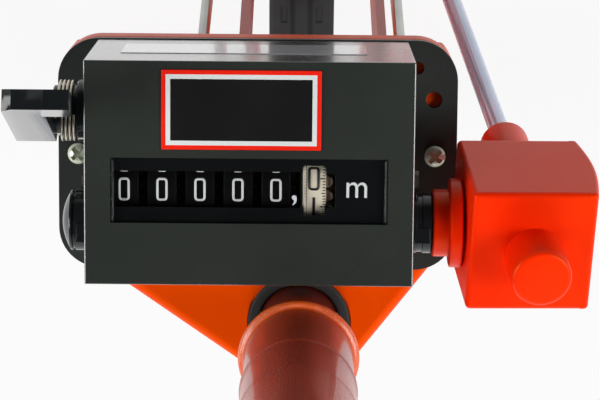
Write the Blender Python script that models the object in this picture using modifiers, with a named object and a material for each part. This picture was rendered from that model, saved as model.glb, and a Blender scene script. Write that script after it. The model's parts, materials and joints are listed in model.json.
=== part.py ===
# Measuring wheel with a mechanical counter, built as an assembly of separate parts.
# Metres, +Z up, +X to the user's right, +Y forward. It stands on its wheel and its kickstand.

import math

import bmesh
import bpy
from mathutils import Matrix, Vector

# Clearances and overruns shared by all parts
GAP = 0.0003
RUNNING_GAP = 0.0005
CUT_OVERRUN = 0.004
MERGE = 0.00001
TOOTH_ROOT_SHARE = 0.52
TOOTH_TIP_SHARE = 0.24

# How the four sections of the wheel lean back from the vertical
FORK_LEAN = math.radians(30)
POLE_LEAN = math.radians(22)
FACE_LEAN = math.radians(14)

# Wheel: its circumference is one metre
CIRCUMFERENCE = 1.0
WHEEL_RADIUS = CIRCUMFERENCE / math.tau
TYRE_WIDTH = 0.025
TYRE_DEPTH = 0.0125
TYRE_SHOULDER = 0.003
RIM_THICKNESS = 0.004
RIM_WIDTH = 0.018
WEB_THICKNESS = 0.007
HUB_WIDTH = 0.026
HUB_RADIUS = 0.019
WINDOW_COUNT = 6
SPOKE_WIDTH = 0.022
WINDOW_CORNER = 0.008
WINDOW_RIM_MARGIN = 0.018
WINDOW_HUB_MARGIN = 0.012
WHEEL_SEGMENTS = 48

# Axle, which turns with the wheel
AXLE_RADIUS = 0.004
AXLE_HEAD_RADIUS = 0.0075
AXLE_HEAD_WIDTH = 0.005
NUT_RADIUS = 0.0075
NUT_WIDTH = 0.006
BUSH_WALL = 0.0025
BUSH_FLANGE = 0.0025
BUSH_FLANGE_WIDTH = 0.0015

# Fork
ARM_THICKNESS = 0.003
ARM_WIDTH = 0.025
ARM_LEFT_X = -0.0190
ARM_RIGHT_X = 0.0266
ARM_HEAD_TOP = 0.0145
ARM_HEAD_BOTTOM = -0.0240
ARM_SLOT_ROOM = 0.004
BOLT_RADIUS = 0.003
BOLT_HEAD_RADIUS = 0.0055
BOLT_HEAD_WIDTH = 0.003
POLE_BOLT_HALF = 0.0155

# Drive rod and its bevel gears
AXLE_TO_INPUT = 0.3806
ROD_FOOT_X = 0.0365
ROD_HEAD_X = 0.0681
ROD_RADIUS = 0.0032
BEVEL_TEETH = 12
BEVEL_PITCH_RADIUS = 0.0066
BEVEL_FACE = 0.0034
BEVEL_ADDENDUM = 0.00062
BEVEL_DEDENDUM = 0.00085
BEVEL_BACK = 0.0008
BEVEL_ROOT_SHARE = 0.25
BEVEL_TIP_SHARE = 0.11

# Lower gearbox on the right arm
HUB_BOX_WALL = 0.0022
HUB_BOX_RADIUS = 0.0150
HUB_BOX_DEPTH = 0.0205
HUB_BOX_SNOUT_RADIUS = 0.0068
HUB_BOX_SNOUT_LENGTH = 0.030

# Head gearbox
BOX_WIDTH = 0.0358
BOX_HEIGHT = 0.0373
BOX_CENTRE_DROP = 0.00085
BOX_FRONT = 0.017
BOX_BACK = 0.0206
BOX_WALL = 0.0022
BOX_EDGE = 0.0014
BOX_SHIFT_X = -0.003
BOX_ROLL = math.radians(-2)
BOX_BULGE = 0.0022
COVER_THICKNESS = 0.0026
BOSS_RADIUS = 0.0086
BOSS_LENGTH = 0.015
BOSS_DROP = 0.0017
BOSS_SHIFT_X = 0.0007
BOSS_WALL = 0.002
COLLAR_RADIUS = 0.0075
COLLAR_LENGTH = 0.0359
RING_RADIUS = 0.013
RING_WIDTH = 0.0051
RING_STEP_RADIUS = 0.0098
RING_STEP_WIDTH = 0.0048

# Counter
COUNTER_X = -0.0145
COVER_WIDTH = 0.094
COVER_HEIGHT = 0.0645
COVER_DEPTH = 0.054
COVER_WALL = 0.0015
COVER_EDGE = 0.0008
INPUT_DROP = 0.01685
INPUT_DEPTH = 0.0184
LABEL_WIDTH = 0.0453
LABEL_HEIGHT = 0.0227
LABEL_THICKNESS = 0.0004
LABEL_CENTRE_X = -0.0023
LABEL_CENTRE_Y = 0.0184
WINDOW_WIDTH = 0.079
WINDOW_HEIGHT = 0.0188
WINDOW_CENTRE_X = 0.0
WINDOW_CENTRE_Y = -0.0049
LENS_THICKNESS = 0.0012
LENS_RECESS = 0.0004
PANEL_THICKNESS = 0.0008
PANEL_GAP = 0.0006
PANEL_MARGIN = 0.002
SLOT_HEIGHT = 0.0104
SLOT_CENTRE_Y = -0.0048
SLOT_LAST_HEIGHT = 0.0144
SLOT_LAST_CENTRE_Y = -0.00496
DIGIT_CENTRE_Y = -0.0044
DIGIT_PITCH = 0.01085
DIGIT_RADIUS = 0.0135
DIGIT_RIM = 0.0083
DIGIT_FIRST_X = -0.0358
DIGIT_LAST_X = 0.0186
DIGIT_LAST_RIM = 0.0066
DIGIT_SEGMENTS = 20
DIGIT_SHAFT_RADIUS = 0.002
DIGIT_SHAFT_HEAD_RADIUS = 0.0031
DIGIT_SHAFT_HEAD_WIDTH = 0.0016
TRANSFER_TEETH = 20
PINION_TEETH = 8
TRANSFER_MODULE = 0.00107
TRANSFER_ADDENDUM_SHARE = 0.7
TRANSFER_DEDENDUM_SHARE = 0.95
TRANSFER_WIDTH = 0.0016
PINION_SHAFT_RADIUS = 0.0009
DRIVE_TEETH = 16
DRIVE_WIDTH = 0.0024
LOBE_COUNT = 18
LOBE_WIDTH = 0.0022
LOBE_RADIUS = 0.0122
INPUT_SHAFT_RADIUS = 0.0025
FRAME_WALL = 0.0015
FRAME_ROOM = 0.00125
FRAME_WIDTH = COVER_WIDTH - 2 * COVER_WALL - 2 * FRAME_ROOM
FRAME_HEIGHT = 0.052
FRAME_FRONT_DEPTH = 0.008
CAP_RADIUS = 0.00885
CAP_BORE_GAP = 0.0004
CAP_RIGHT_LENGTH = 0.0055
CAP_LEFT_LENGTH = 0.0074
CAP_DOME_SHARES = ((0.85, 0.75), (0.65, 0.86), (0.4, 0.95), (0, 1))

# Reset lever
RESET_UP = 0.0146
RESET_DEPTH = 0.0239
RESET_SHAFT_RADIUS = 0.0025
RESET_BLADE_REACH = 0.0055
RESET_BLADE_THICKNESS = 0.0016
LEVER_ARM_LEFT = 0.0681
LEVER_ARM_WIDTH = 0.0116
LEVER_HUB_RADIUS = 0.0056
LEVER_HEEL_DROP = 0.0085
LEVER_HEEL_FORWARD = 0.0046
LEVER_TIP_RISE = 0.0062
LEVER_TIP_FORWARD = 0.0446
LEVER_BARREL_RADIUS = 0.0074
LEVER_BARREL_END = 0.0477
LEVER_FLANGE_RADIUS = 0.009
LEVER_FLANGE_WIDTH = 0.0028
LEVER_TILT = math.radians(20.4)
PAD_WIDTH = 0.0188
PAD_DEPTH = 0.0085
PAD_THICKNESS = 0.0058
LEVER_EDGE = 0.0005
LEVER_SINK = 0.001
SPRING_WIRE = 0.0008
SPRING_RADIUS = 0.0086
SPRING_TURNS = 4
SPRING_PITCH = 0.00116
SPRING_POINTS = 10
SPRING_LEG = 0.030
SPRING_HOOK = 0.003
SPRING_TAIL = 0.003

# Mounting plate and housing
PLATE_LEFT = -0.0593
PLATE_RIGHT = 0.0622
PLATE_TOP = 0.0326
PLATE_BOTTOM = -0.0382
PLATE_THICKNESS = 0.003
PLATE_CORNER = 0.0125
HOUSING_BOTTOM = -0.0346
HOUSING_CORNER = 0.0092
SCREW_Y = -0.0028
SCREW_LEFT_X = -0.0532
SCREW_RIGHT_X = 0.0555
SCREW_HEAD_RADIUS = 0.0033
SCREW_HEAD_HEIGHT = 0.0019
SCREW_RADIUS = 0.0017
SCREW_LENGTH = 0.010
SCREW_CROWN_SHARE = 0.7
SCREW_RIM_SHARE = 0.45
RECESS_WIDTH = 0.0009
RECESS_DEPTH = 0.0011
RECESS_REACH_SHARE = 0.68
RECESS_TURN = math.radians(20)
SPARE_HOLE_RADIUS = 0.0024
SPARE_HOLE_X = 0.0550
SPARE_HOLE_Y = 0.0145
SMALL_HOLE_RADIUS = 0.0018
SMALL_HOLE_X = 0.0500
SMALL_HOLE_Y = 0.0242
HOUSING_DEPTH = 0.030
HOUSING_EDGE = 0.002
HOUSING_TOP_DEPTH = 0.011
HOUSING_STEP = 0.004
HOUSING_NOSE_RADIUS = 0.0208
HOUSING_WALL = 0.003
HOUSING_FACE = 0.004

# Pole
POLE_DROP = 0.0559
POLE_RISE = 0.0008
TUBE_RADIUS = 0.012
TUBE_WALL = 0.0015
POLE_BUSH_RADIUS = 0.0158
POLE_BUSH_FLANGE = 0.002
POLE_BUSH_NECK_RADIUS = 0.0140
POLE_BUSH_NECK = 0.010
TUBE_IN_HOUSING = 0.025
SLEEVE_START = 0.028
SLEEVE_RIM_RADIUS = 0.0182
SLEEVE_RIM_WIDTH = 0.003
SLEEVE_NECK_RADIUS = 0.0164
SLEEVE_NECK_LENGTH = 0.027
SLEEVE_BODY_RADIUS = 0.0170
SLEEVE_STEP = 0.0008
SLEEVE_LENGTH = 0.105
SLEEVE_BORE_RADIUS = 0.0125
FOLD_AT = 0.170
FOLD_REACH = 0.032
FOLD_PLUG = 0.020
FOLD_TONGUE = 0.008
FOLD_EAR = 0.0060
FOLD_PIN_RADIUS = 0.0025
FOLD_KNUCKLE_RADIUS = 0.0062
UPPER_TUBE_LENGTH = 0.400
GRIP_OVERLAP = 0.100
GRIP_RADIUS = 0.0165
GRIP_END = 0.012
GRIP_RIB_COUNT = 6
GRIP_RIB_STEP = 0.015
GRIP_RIB_DEPTH = 0.0008
GRIP_FIRST_RIB = 0.016
GRIP_COLLAR_RADIUS = 0.0185
GRIP_COLLAR_WIDTH = 0.004

# Kickstand
STAND_UP_FORK = 0.040
STAND_WIRE_RADIUS = 0.0025
STAND_LEG_X = 0.0330
STAND_FOOT_X = 0.058
STAND_FOOT_BACK = 0.161
STAND_FOOT_RADIUS = 0.0045
STAND_FOOT_LENGTH = 0.100
STAND_BEND = 0.004
STAND_TIP = 0.0012
STAND_FOOT_SEGMENTS = 16

ORANGE = (0.80, 0.085, 0.012)
DEEP_ORANGE = (0.62, 0.045, 0.010)
BLACK = (0.020, 0.023, 0.021)
RUBBER_BLACK = (0.018, 0.018, 0.018)
STEEL = (0.55, 0.55, 0.56)
DARK_CHROME = (0.16, 0.17, 0.20)
BRASS = (0.65, 0.48, 0.20)
CREAM = (0.80, 0.74, 0.62)
RED = (0.55, 0.02, 0.01)
CLEAR = (0.70, 0.75, 0.75)


# Scene set-up

for old_object in list(bpy.data.objects):
    bpy.data.objects.remove(old_object, do_unlink=True)

PARTS = bpy.data.collections.new("measuring_wheel")
CUTTERS = bpy.data.collections.new("cutters")
bpy.context.scene.collection.children.link(PARTS)
bpy.context.scene.collection.children.link(CUTTERS)


def make_material(name, colour, roughness, metallic):
    """A Principled material of one plain colour."""
    material = bpy.data.materials.new(name)
    material.use_nodes = True
    shader = material.node_tree.nodes["Principled BSDF"]
    shader.inputs["Base Color"].default_value = (*colour, 1)
    shader.inputs["Roughness"].default_value = roughness
    shader.inputs["Metallic"].default_value = metallic
    return material


ORANGE_PLASTIC = make_material("orange_plastic", ORANGE, 0.25, 0)
ORANGE_PAINT = make_material("orange_paint", DEEP_ORANGE, 0.35, 0)
BLACK_PLASTIC = make_material("black_plastic", BLACK, 0.45, 0)
BLACK_GLOSS = make_material("black_gloss", BLACK, 0.15, 0)
RUBBER = make_material("rubber", RUBBER_BLACK, 0.8, 0)
STEEL_METAL = make_material("steel", STEEL, 0.3, 1)
CHROME_DARK = make_material("dark_chrome", DARK_CHROME, 0.12, 1)
BRASS_METAL = make_material("brass", BRASS, 0.35, 1)
CREAM_PLASTIC = make_material("cream_plastic", CREAM, 0.5, 0)
LABEL_RED = make_material("label_red", RED, 0.4, 0)
CLEAR_PLASTIC = make_material("clear_plastic", CLEAR, 0.05, 0)


# Modelling helpers

def frame_empty(name, parent=None, location=(0, 0, 0), rotation=(0, 0, 0)):
    """An empty that carries the parts of one section of the wheel."""
    empty = bpy.data.objects.new(name, None)
    PARTS.objects.link(empty)
    empty.parent = parent
    empty.location = location
    empty.rotation_euler = rotation
    return empty


def place(obj, parent, location=(0, 0, 0), rotation=(0, 0, 0)):
    """Parent an object and give it its place in the parent's frame."""
    obj.parent = parent
    obj.location = location
    obj.rotation_euler = rotation
    return obj


def finish_mesh(name, mesh_builder, material, smooth_degrees=30):
    """Turn a bmesh into a linked object with outward normals."""
    bmesh.ops.recalc_face_normals(mesh_builder, faces=mesh_builder.faces)
    mesh = bpy.data.meshes.new(name)
    mesh_builder.to_mesh(mesh)
    mesh_builder.free()
    mesh.shade_smooth()
    mesh.set_sharp_from_angle(angle=math.radians(smooth_degrees))
    obj = bpy.data.objects.new(name, mesh)
    if material is None:
        CUTTERS.objects.link(obj)
        obj.hide_render = True
        obj.display_type = "WIRE"
    else:
        mesh.materials.append(material)
        PARTS.objects.link(obj)
    return obj


def box(name, low, high, material=None):
    """A box between two corners of its own frame."""
    builder = bmesh.new()
    bmesh.ops.create_cube(builder, size=1)
    low = Vector(low)
    high = Vector(high)
    centre = (low + high) / 2
    size = high - low
    stretch = Matrix.Translation(centre) @ Matrix.Diagonal((*size, 1))
    bmesh.ops.transform(builder, matrix=stretch, verts=builder.verts)
    return finish_mesh(name, builder, material)


def cylinder(name, radius, start, end, material=None, segments=24, axis="Z"):
    """A cylinder along one axis of its own frame, from start to end."""
    builder = bmesh.new()
    bmesh.ops.create_cone(
        builder,
        cap_ends=True,
        segments=segments,
        radius1=radius,
        radius2=radius,
        depth=abs(end - start),
    )
    middle = (start + end) / 2
    bmesh.ops.translate(builder, verts=builder.verts, vec=(0, 0, middle))
    bmesh.ops.transform(builder, matrix=axis_matrix(axis), verts=builder.verts)
    return finish_mesh(name, builder, material)


def axis_matrix(axis):
    """Turns a shape made along Z so that it lies along X or Y."""
    if axis == "X":
        return Matrix.Rotation(math.radians(90), 4, "Y")
    if axis == "Y":
        return Matrix.Rotation(math.radians(-90), 4, "X")
    return Matrix.Identity(4)


def turned(name, profile, material, segments=32, axis="Z", closed=True):
    """A solid of revolution. The profile is (radius, height) and runs down its outer side."""
    mesh = bpy.data.meshes.new(name)
    count = len(profile)
    edges = [(index, index + 1) for index in range(count - 1)]
    if closed:
        edges.append((count - 1, 0))
    mesh.from_pydata([(radius, 0, height) for radius, height in profile], edges, [])
    obj = bpy.data.objects.new(name, mesh)
    screw = obj.modifiers.new("turn", "SCREW")
    screw.steps = segments
    screw.render_steps = segments
    screw.use_merge_vertices = True
    screw.merge_threshold = MERGE
    PARTS.objects.link(obj)
    bpy.context.view_layer.update()
    evaluated = obj.evaluated_get(bpy.context.evaluated_depsgraph_get())
    builder = bmesh.new()
    builder.from_mesh(evaluated.to_mesh())
    bmesh.ops.remove_doubles(builder, verts=builder.verts, dist=MERGE)
    bmesh.ops.transform(builder, matrix=axis_matrix(axis), verts=builder.verts)
    bpy.data.objects.remove(obj)
    return finish_mesh(name, builder, material, 40)


def extruded(name, outline, low, high, material=None, axis="Z", holes=()):
    """A flat outline drawn out along one axis. Outline points are in the two other axes."""
    builder = bmesh.new()
    loops = [outline, *holes]
    edges = []
    for loop in loops:
        ring = [builder.verts.new((first, second, low)) for first, second in loop]
        for index, vertex in enumerate(ring):
            edges.append(builder.edges.new((vertex, ring[(index + 1) % len(ring)])))
    if holes:
        bmesh.ops.triangle_fill(builder, use_beauty=True, use_dissolve=False, edges=edges)
    else:
        builder.faces.new(list(builder.verts))
    drawn = bmesh.ops.extrude_face_region(builder, geom=list(builder.faces))
    moved = [item for item in drawn["geom"] if isinstance(item, bmesh.types.BMVert)]
    bmesh.ops.translate(builder, verts=moved, vec=(0, 0, high - low))
    if axis == "X":
        turn = Matrix(((0, 0, 1, 0), (1, 0, 0, 0), (0, 1, 0, 0), (0, 0, 0, 1)))
        bmesh.ops.transform(builder, matrix=turn, verts=builder.verts)
    return finish_mesh(name, builder, material)


def arc(centre, radius, start_degrees, end_degrees, steps):
    """Points along an arc, both ends included."""
    points = []
    for step in range(steps + 1):
        angle = math.radians(start_degrees + (end_degrees - start_degrees) * step / steps)
        points.append((centre[0] + radius * math.cos(angle), centre[1] + radius * math.sin(angle)))
    return points


def rounded_rectangle(left, right, bottom, top, corner, steps=5):
    """Outline of a rectangle with round corners, anticlockwise."""
    return (
        arc((right - corner, top - corner), corner, 0, 90, steps)
        + arc((left + corner, top - corner), corner, 90, 180, steps)
        + arc((left + corner, bottom + corner), corner, 180, 270, steps)
        + arc((right - corner, bottom + corner), corner, 270, 360, steps)
    )


def hull(points):
    """Convex outline round a set of points, anticlockwise."""
    ordered = sorted(set(points))

    def half(sequence):
        chain = []
        for point in sequence:
            while len(chain) > 1:
                ahead = (chain[-1][0] - chain[-2][0]) * (point[1] - chain[-2][1])
                aside = (chain[-1][1] - chain[-2][1]) * (point[0] - chain[-2][0])
                if ahead - aside > 0:
                    break
                chain.pop()
            chain.append(point)
        return chain[:-1]

    return half(ordered) + half(ordered[::-1])


def bevel(obj, width, segments=2, degrees=40):
    """Round the edges that are sharper than the given angle."""
    modifier = obj.modifiers.new("round_edges", "BEVEL")
    modifier.width = width
    modifier.segments = segments
    modifier.limit_method = "ANGLE"
    modifier.angle_limit = math.radians(degrees)
    modifier.use_clamp_overlap = True
    return obj


def cut(obj, cutter, operation="DIFFERENCE"):
    """Cut one object with another, or join them."""
    modifier = obj.modifiers.new("cut", "BOOLEAN")
    modifier.operation = operation
    modifier.solver = "EXACT"
    modifier.object = cutter
    return obj


def gear_outline(teeth, pitch_radius, addendum, dedendum):
    """Outline of a spur gear whose first tooth points along the first axis."""
    points = []
    for tooth in range(teeth):
        middle = math.tau * tooth / teeth
        step = math.tau / teeth
        for share, radius in (
            (-TOOTH_ROOT_SHARE / 2, pitch_radius - dedendum),
            (-TOOTH_TIP_SHARE / 2, pitch_radius + addendum),
            (TOOTH_TIP_SHARE / 2, pitch_radius + addendum),
            (TOOTH_ROOT_SHARE / 2, pitch_radius - dedendum),
        ):
            angle = middle + share * step
            points.append((radius * math.cos(angle), radius * math.sin(angle)))
    return points


def circle(radius, segments=24, centre=(0, 0)):
    """Outline of a circle."""
    return [
        (
            centre[0] + radius * math.cos(math.tau * step / segments),
            centre[1] + radius * math.sin(math.tau * step / segments),
        )
        for step in range(segments)
    ]


def bevel_gear(name, half_angle, parent, location, rotation, phase, bore, material):
    """A straight bevel gear with its cone's point at the origin and its axis along Z."""
    cone_length = BEVEL_PITCH_RADIUS / math.tan(half_angle)
    slant = math.hypot(BEVEL_PITCH_RADIUS, cone_length)
    inner_share = (slant - BEVEL_FACE) / slant
    step = math.tau / BEVEL_TEETH
    tooth_shares = (
        (-BEVEL_ROOT_SHARE, -BEVEL_DEDENDUM),
        (-BEVEL_TIP_SHARE, BEVEL_ADDENDUM),
        (BEVEL_TIP_SHARE, BEVEL_ADDENDUM),
        (BEVEL_ROOT_SHARE, -BEVEL_DEDENDUM),
    )
    builder = bmesh.new()
    rings = []
    for scale in (1, inner_share):
        ring = []
        for tooth in range(BEVEL_TEETH):
            for share, offset in tooth_shares:
                angle = phase + (tooth + share) * step
                radius = (BEVEL_PITCH_RADIUS + offset * math.cos(half_angle)) * scale
                height = (cone_length - offset * math.sin(half_angle)) * scale
                ring.append(builder.verts.new((radius * math.cos(angle), radius * math.sin(angle), height)))
        rings.append(ring)
    back = cone_length + BEVEL_DEDENDUM * math.sin(half_angle) + BEVEL_BACK
    count = len(rings[0])
    back_ring = []
    for vertex in rings[0]:
        back_ring.append(builder.verts.new((vertex.co.x, vertex.co.y, back)))
    for first, second in ((rings[1], rings[0]), (rings[0], back_ring)):
        for index in range(count):
            following = (index + 1) % count
            builder.faces.new((first[index], first[following], second[following], second[index]))
    builder.faces.new(back_ring)
    tip_centre = builder.verts.new((0, 0, sum(vertex.co.z for vertex in rings[1]) / count))
    for index in range(count):
        builder.faces.new((rings[1][(index + 1) % count], rings[1][index], tip_centre))
    bmesh.ops.triangulate(builder, faces=builder.faces)
    gear = finish_mesh(name, builder, material, 25)
    place(gear, parent, location, rotation)
    if bore:
        hole = cylinder(name + "_bore", bore, -CUT_OVERRUN, back + CUT_OVERRUN, segments=16)
        place(hole, parent, location, rotation)
        cut(gear, hole)
    return gear


def wire(name, points, radius, material, resolution=2):
    """A wire along a list of points, with closed ends."""
    curve = bpy.data.curves.new(name, "CURVE")
    curve.dimensions = "3D"
    curve.bevel_depth = radius
    curve.bevel_resolution = resolution
    curve.use_fill_caps = True
    spline = curve.splines.new("POLY")
    spline.points.add(len(points) - 1)
    for item, point in zip(spline.points, points):
        item.co = (*point, 1)
    curve.materials.append(material)
    obj = bpy.data.objects.new(name, curve)
    PARTS.objects.link(obj)
    return obj


def rounded_path(corners, radius, steps=5):
    """A path through the corners, with each bend drawn as an arc of the given radius."""
    points = [Vector(corners[0])]
    for before, corner, after in zip(corners, corners[1:], corners[2:]):
        corner = Vector(corner)
        inward = (Vector(before) - corner).normalized()
        outward = (Vector(after) - corner).normalized()
        half = inward.angle(outward) / 2
        centre = corner + (inward + outward).normalized() * radius / math.sin(half)
        start = corner + inward * radius / math.tan(half)
        end = corner + outward * radius / math.tan(half)
        for step in range(steps + 1):
            share = step / steps
            spoke = (start - centre).lerp(end - centre, share).normalized() * radius
            points.append(centre + spoke)
    points.append(Vector(corners[-1]))
    return points


# Frames: the stand, the fork, the rod, the counter and the pole

SEGMENT_HALF_ANGLE = math.pi / WHEEL_SEGMENTS
HUB_HEIGHT = WHEEL_RADIUS * math.cos(SEGMENT_HALF_ANGLE)

stand = frame_empty("stand_frame")
hub_frame = frame_empty("hub_frame", stand, (0, 0, HUB_HEIGHT))
wheel_frame = frame_empty("wheel_frame", hub_frame)
fork_frame = frame_empty("fork_frame", hub_frame, rotation=(FORK_LEAN, 0, 0))

ROD_TILT = math.atan((ROD_HEAD_X - ROD_FOOT_X) / AXLE_TO_INPUT)
ROD_SPAN = math.hypot(ROD_HEAD_X - ROD_FOOT_X, AXLE_TO_INPUT)
rod_frame = frame_empty("rod_frame", fork_frame, (ROD_FOOT_X, 0, 0), (0, ROD_TILT, 0))
rod_head = frame_empty("rod_head_frame", rod_frame, (0, 0, ROD_SPAN))
box_frame = frame_empty("box_frame", rod_head, (BOX_SHIFT_X, 0, 0), (0, 0, BOX_ROLL))

input_frame = frame_empty("input_frame", fork_frame, (0, 0, AXLE_TO_INPUT), (FACE_LEAN - FORK_LEAN, 0, 0))
counter_frame = frame_empty("counter_frame_origin", input_frame, (COUNTER_X, INPUT_DROP, INPUT_DEPTH))
PLATE_FRONT_DEPTH = COVER_DEPTH + GAP
HOUSING_FRONT_DEPTH = PLATE_FRONT_DEPTH + PLATE_THICKNESS + GAP
POLE_SET_BACK = HOUSING_FRONT_DEPTH - POLE_RISE
pole_frame = frame_empty(
    "pole_frame",
    counter_frame,
    (-COUNTER_X, -POLE_DROP, -POLE_SET_BACK),
    (POLE_LEAN - FACE_LEAN, 0, 0),
)
fold_frame = frame_empty("fold_frame", pole_frame, (0, 0, FOLD_AT))
stand_pivot = frame_empty("kickstand_pivot", fork_frame, (0, 0, STAND_UP_FORK), (-FORK_LEAN, 0, 0))


# Wheel

RIM_OUTER = WHEEL_RADIUS - TYRE_DEPTH
FACET_TURN = (SEGMENT_HALF_ANGLE, 0, 0)


def build_tyre():
    half = TYRE_WIDTH / 2
    seat = RIM_OUTER + GAP
    crown = WHEEL_RADIUS
    profile = [
        (seat, half - TYRE_SHOULDER),
        (crown - TYRE_SHOULDER, half),
        (crown, half - TYRE_SHOULDER),
        (crown, -half + TYRE_SHOULDER),
        (crown - TYRE_SHOULDER, -half),
        (seat, -half + TYRE_SHOULDER),
    ]
    tyre = turned("tyre", profile, RUBBER, WHEEL_SEGMENTS, "X")
    place(tyre, wheel_frame, rotation=FACET_TURN)


def window_outline():
    """One window of the web, between two spokes and centred on the first axis."""
    inner = HUB_RADIUS + WINDOW_HUB_MARGIN
    outer = RIM_OUTER - RIM_THICKNESS - WINDOW_RIM_MARGIN
    sector = math.pi / WINDOW_COUNT
    half_spoke = SPOKE_WIDTH / 2
    inner_angle = sector - math.asin(half_spoke / inner)
    outer_angle = sector - math.asin(half_spoke / outer)
    steps = 4
    points = []
    for step in range(steps + 1):
        angle = -outer_angle + 2 * outer_angle * step / steps
        points.append((outer * math.cos(angle), outer * math.sin(angle)))
    for step in range(3):
        angle = inner_angle - 2 * inner_angle * step / 2
        points.append((inner * math.cos(angle), inner * math.sin(angle)))
    return points


def build_rim():
    half = RIM_WIDTH / 2
    web = WEB_THICKNESS / 2
    hub = HUB_WIDTH / 2
    rim_inner = RIM_OUTER - RIM_THICKNESS
    bore = AXLE_RADIUS + GAP
    profile = [
        (RIM_OUTER, half),
        (RIM_OUTER, -half),
        (rim_inner, -half),
        (rim_inner, -web),
        (HUB_RADIUS + RIM_THICKNESS, -web),
        (HUB_RADIUS, -hub),
        (bore, -hub),
        (bore, hub),
        (HUB_RADIUS, hub),
        (HUB_RADIUS + RIM_THICKNESS, web),
        (rim_inner, web),
        (rim_inner, half),
    ]
    rim = turned("wheel_rim", profile, ORANGE_PLASTIC, WHEEL_SEGMENTS, "X")
    place(rim, wheel_frame, rotation=FACET_TURN)
    depth = web + CUT_OVERRUN
    for index in range(WINDOW_COUNT):
        turn = math.tau * index / WINDOW_COUNT
        cutter = extruded("web_window_%d" % index, window_outline(), -depth, depth, axis="X")
        bevel(cutter, WINDOW_CORNER, 1, 50)
        place(cutter, wheel_frame, rotation=(turn, 0, 0))
        cut(rim, cutter)


ARM_LEFT_OUTER = ARM_LEFT_X - ARM_THICKNESS / 2
ARM_LEFT_INNER = ARM_LEFT_X + ARM_THICKNESS / 2
ARM_RIGHT_INNER = ARM_RIGHT_X - ARM_THICKNESS / 2
ARM_RIGHT_OUTER = ARM_RIGHT_X + ARM_THICKNESS / 2
BUSH_RADIUS = AXLE_RADIUS + RUNNING_GAP + BUSH_WALL
LOWER_CONE_ANGLE = (math.pi / 2 + ROD_TILT) / 2
UPPER_CONE_ANGLE = (math.pi / 2 - ROD_TILT) / 2
AXLE_GEAR_TIP = (
    BEVEL_PITCH_RADIUS / math.tan(LOWER_CONE_ANGLE)
    * (1 - BEVEL_FACE * math.sin(LOWER_CONE_ANGLE) / BEVEL_PITCH_RADIUS)
)


def build_axle():
    head_start = ARM_LEFT_OUTER - BUSH_FLANGE_WIDTH - 2 * GAP - AXLE_HEAD_WIDTH
    shank_end = ROD_FOOT_X - AXLE_GEAR_TIP - RUNNING_GAP
    axle = turned(
        "axle",
        [
            (0, shank_end),
            (AXLE_RADIUS, shank_end),
            (AXLE_RADIUS, head_start + AXLE_HEAD_WIDTH),
            (AXLE_HEAD_RADIUS, head_start + AXLE_HEAD_WIDTH),
            (AXLE_HEAD_RADIUS, head_start),
            (0, head_start),
        ],
        STEEL_METAL,
        16,
        "X",
        closed=False,
    )
    place(axle, wheel_frame)
    nut_start = HUB_WIDTH / 2 + GAP
    nut = cylinder("axle_nut", NUT_RADIUS, nut_start, nut_start + NUT_WIDTH, STEEL_METAL, 6, "X")
    place(nut, wheel_frame)
    nut_end = nut_start + NUT_WIDTH + CUT_OVERRUN
    nut_bore = cylinder("nut_bore", AXLE_RADIUS + GAP, 0, nut_end, segments=16, axis="X")
    cut(nut, place(nut_bore, wheel_frame))
    spacer_high = -HUB_WIDTH / 2 - GAP
    spacer_low = ARM_LEFT_INNER + BUSH_FLANGE_WIDTH + 2 * GAP
    bore = AXLE_RADIUS + GAP
    spacer_radius = AXLE_RADIUS + BUSH_WALL
    spacer = turned(
        "axle_spacer_left",
        [(spacer_radius, spacer_high), (spacer_radius, spacer_low), (bore, spacer_low), (bore, spacer_high)],
        STEEL_METAL,
        16,
        "X",
    )
    place(spacer, wheel_frame)


def build_axle_bush(name, arm_inner, arm_outer):
    """A flanged bush in a fork arm. Its flange lies on the arm's inner face."""
    side = 1 if arm_outer > arm_inner else -1
    inner = arm_inner - side * (GAP + BUSH_FLANGE_WIDTH)
    flange = arm_inner - side * GAP
    outer = arm_outer + side * GAP
    bore = AXLE_RADIUS + RUNNING_GAP
    profile = [
        (BUSH_RADIUS + BUSH_FLANGE, inner),
        (BUSH_RADIUS + BUSH_FLANGE, flange),
        (BUSH_RADIUS, flange),
        (BUSH_RADIUS, outer),
        (bore, outer),
        (bore, inner),
    ]
    if side > 0:
        profile.reverse()
    place(turned(name, profile, BRASS_METAL, 16, "X"), fork_frame)


# Fork

HOUSING_BACK_DEPTH = HOUSING_FRONT_DEPTH + HOUSING_DEPTH
SLOT_FLOOR_DEPTH = HOUSING_FRONT_DEPTH + HOUSING_FACE
ARM_TOP_DEPTH = SLOT_FLOOR_DEPTH + GAP


def counter_to_fork(point_y, point_z):
    """A place in the counter's frame, given in the fork's frame."""
    tilt = FACE_LEAN - FORK_LEAN
    from_input_y = point_y + INPUT_DROP
    from_input_z = point_z + INPUT_DEPTH
    across = from_input_y * math.cos(tilt) - from_input_z * math.sin(tilt)
    along = from_input_y * math.sin(tilt) + from_input_z * math.cos(tilt)
    return across, along + AXLE_TO_INPUT


FORK_BOLT_Y = 0
BOLT_DEPTH = HOUSING_BACK_DEPTH - HOUSING_DEPTH / 2 + HOUSING_FACE / 2
POLE_STEP_BACK = math.tan(POLE_LEAN - FACE_LEAN)
POLE_BOLT_Y = -POLE_DROP + (BOLT_DEPTH - POLE_SET_BACK) * POLE_STEP_BACK


def arm_head_outline():
    """The wide upper end of a fork arm, in the counter's frame."""
    top = -ARM_TOP_DEPTH
    bottom = -HOUSING_BACK_DEPTH + HOUSING_WALL
    low = ARM_HEAD_BOTTOM
    high = ARM_HEAD_TOP
    return [(low, top), (high, top), (high, bottom), (low, bottom)]


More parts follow.
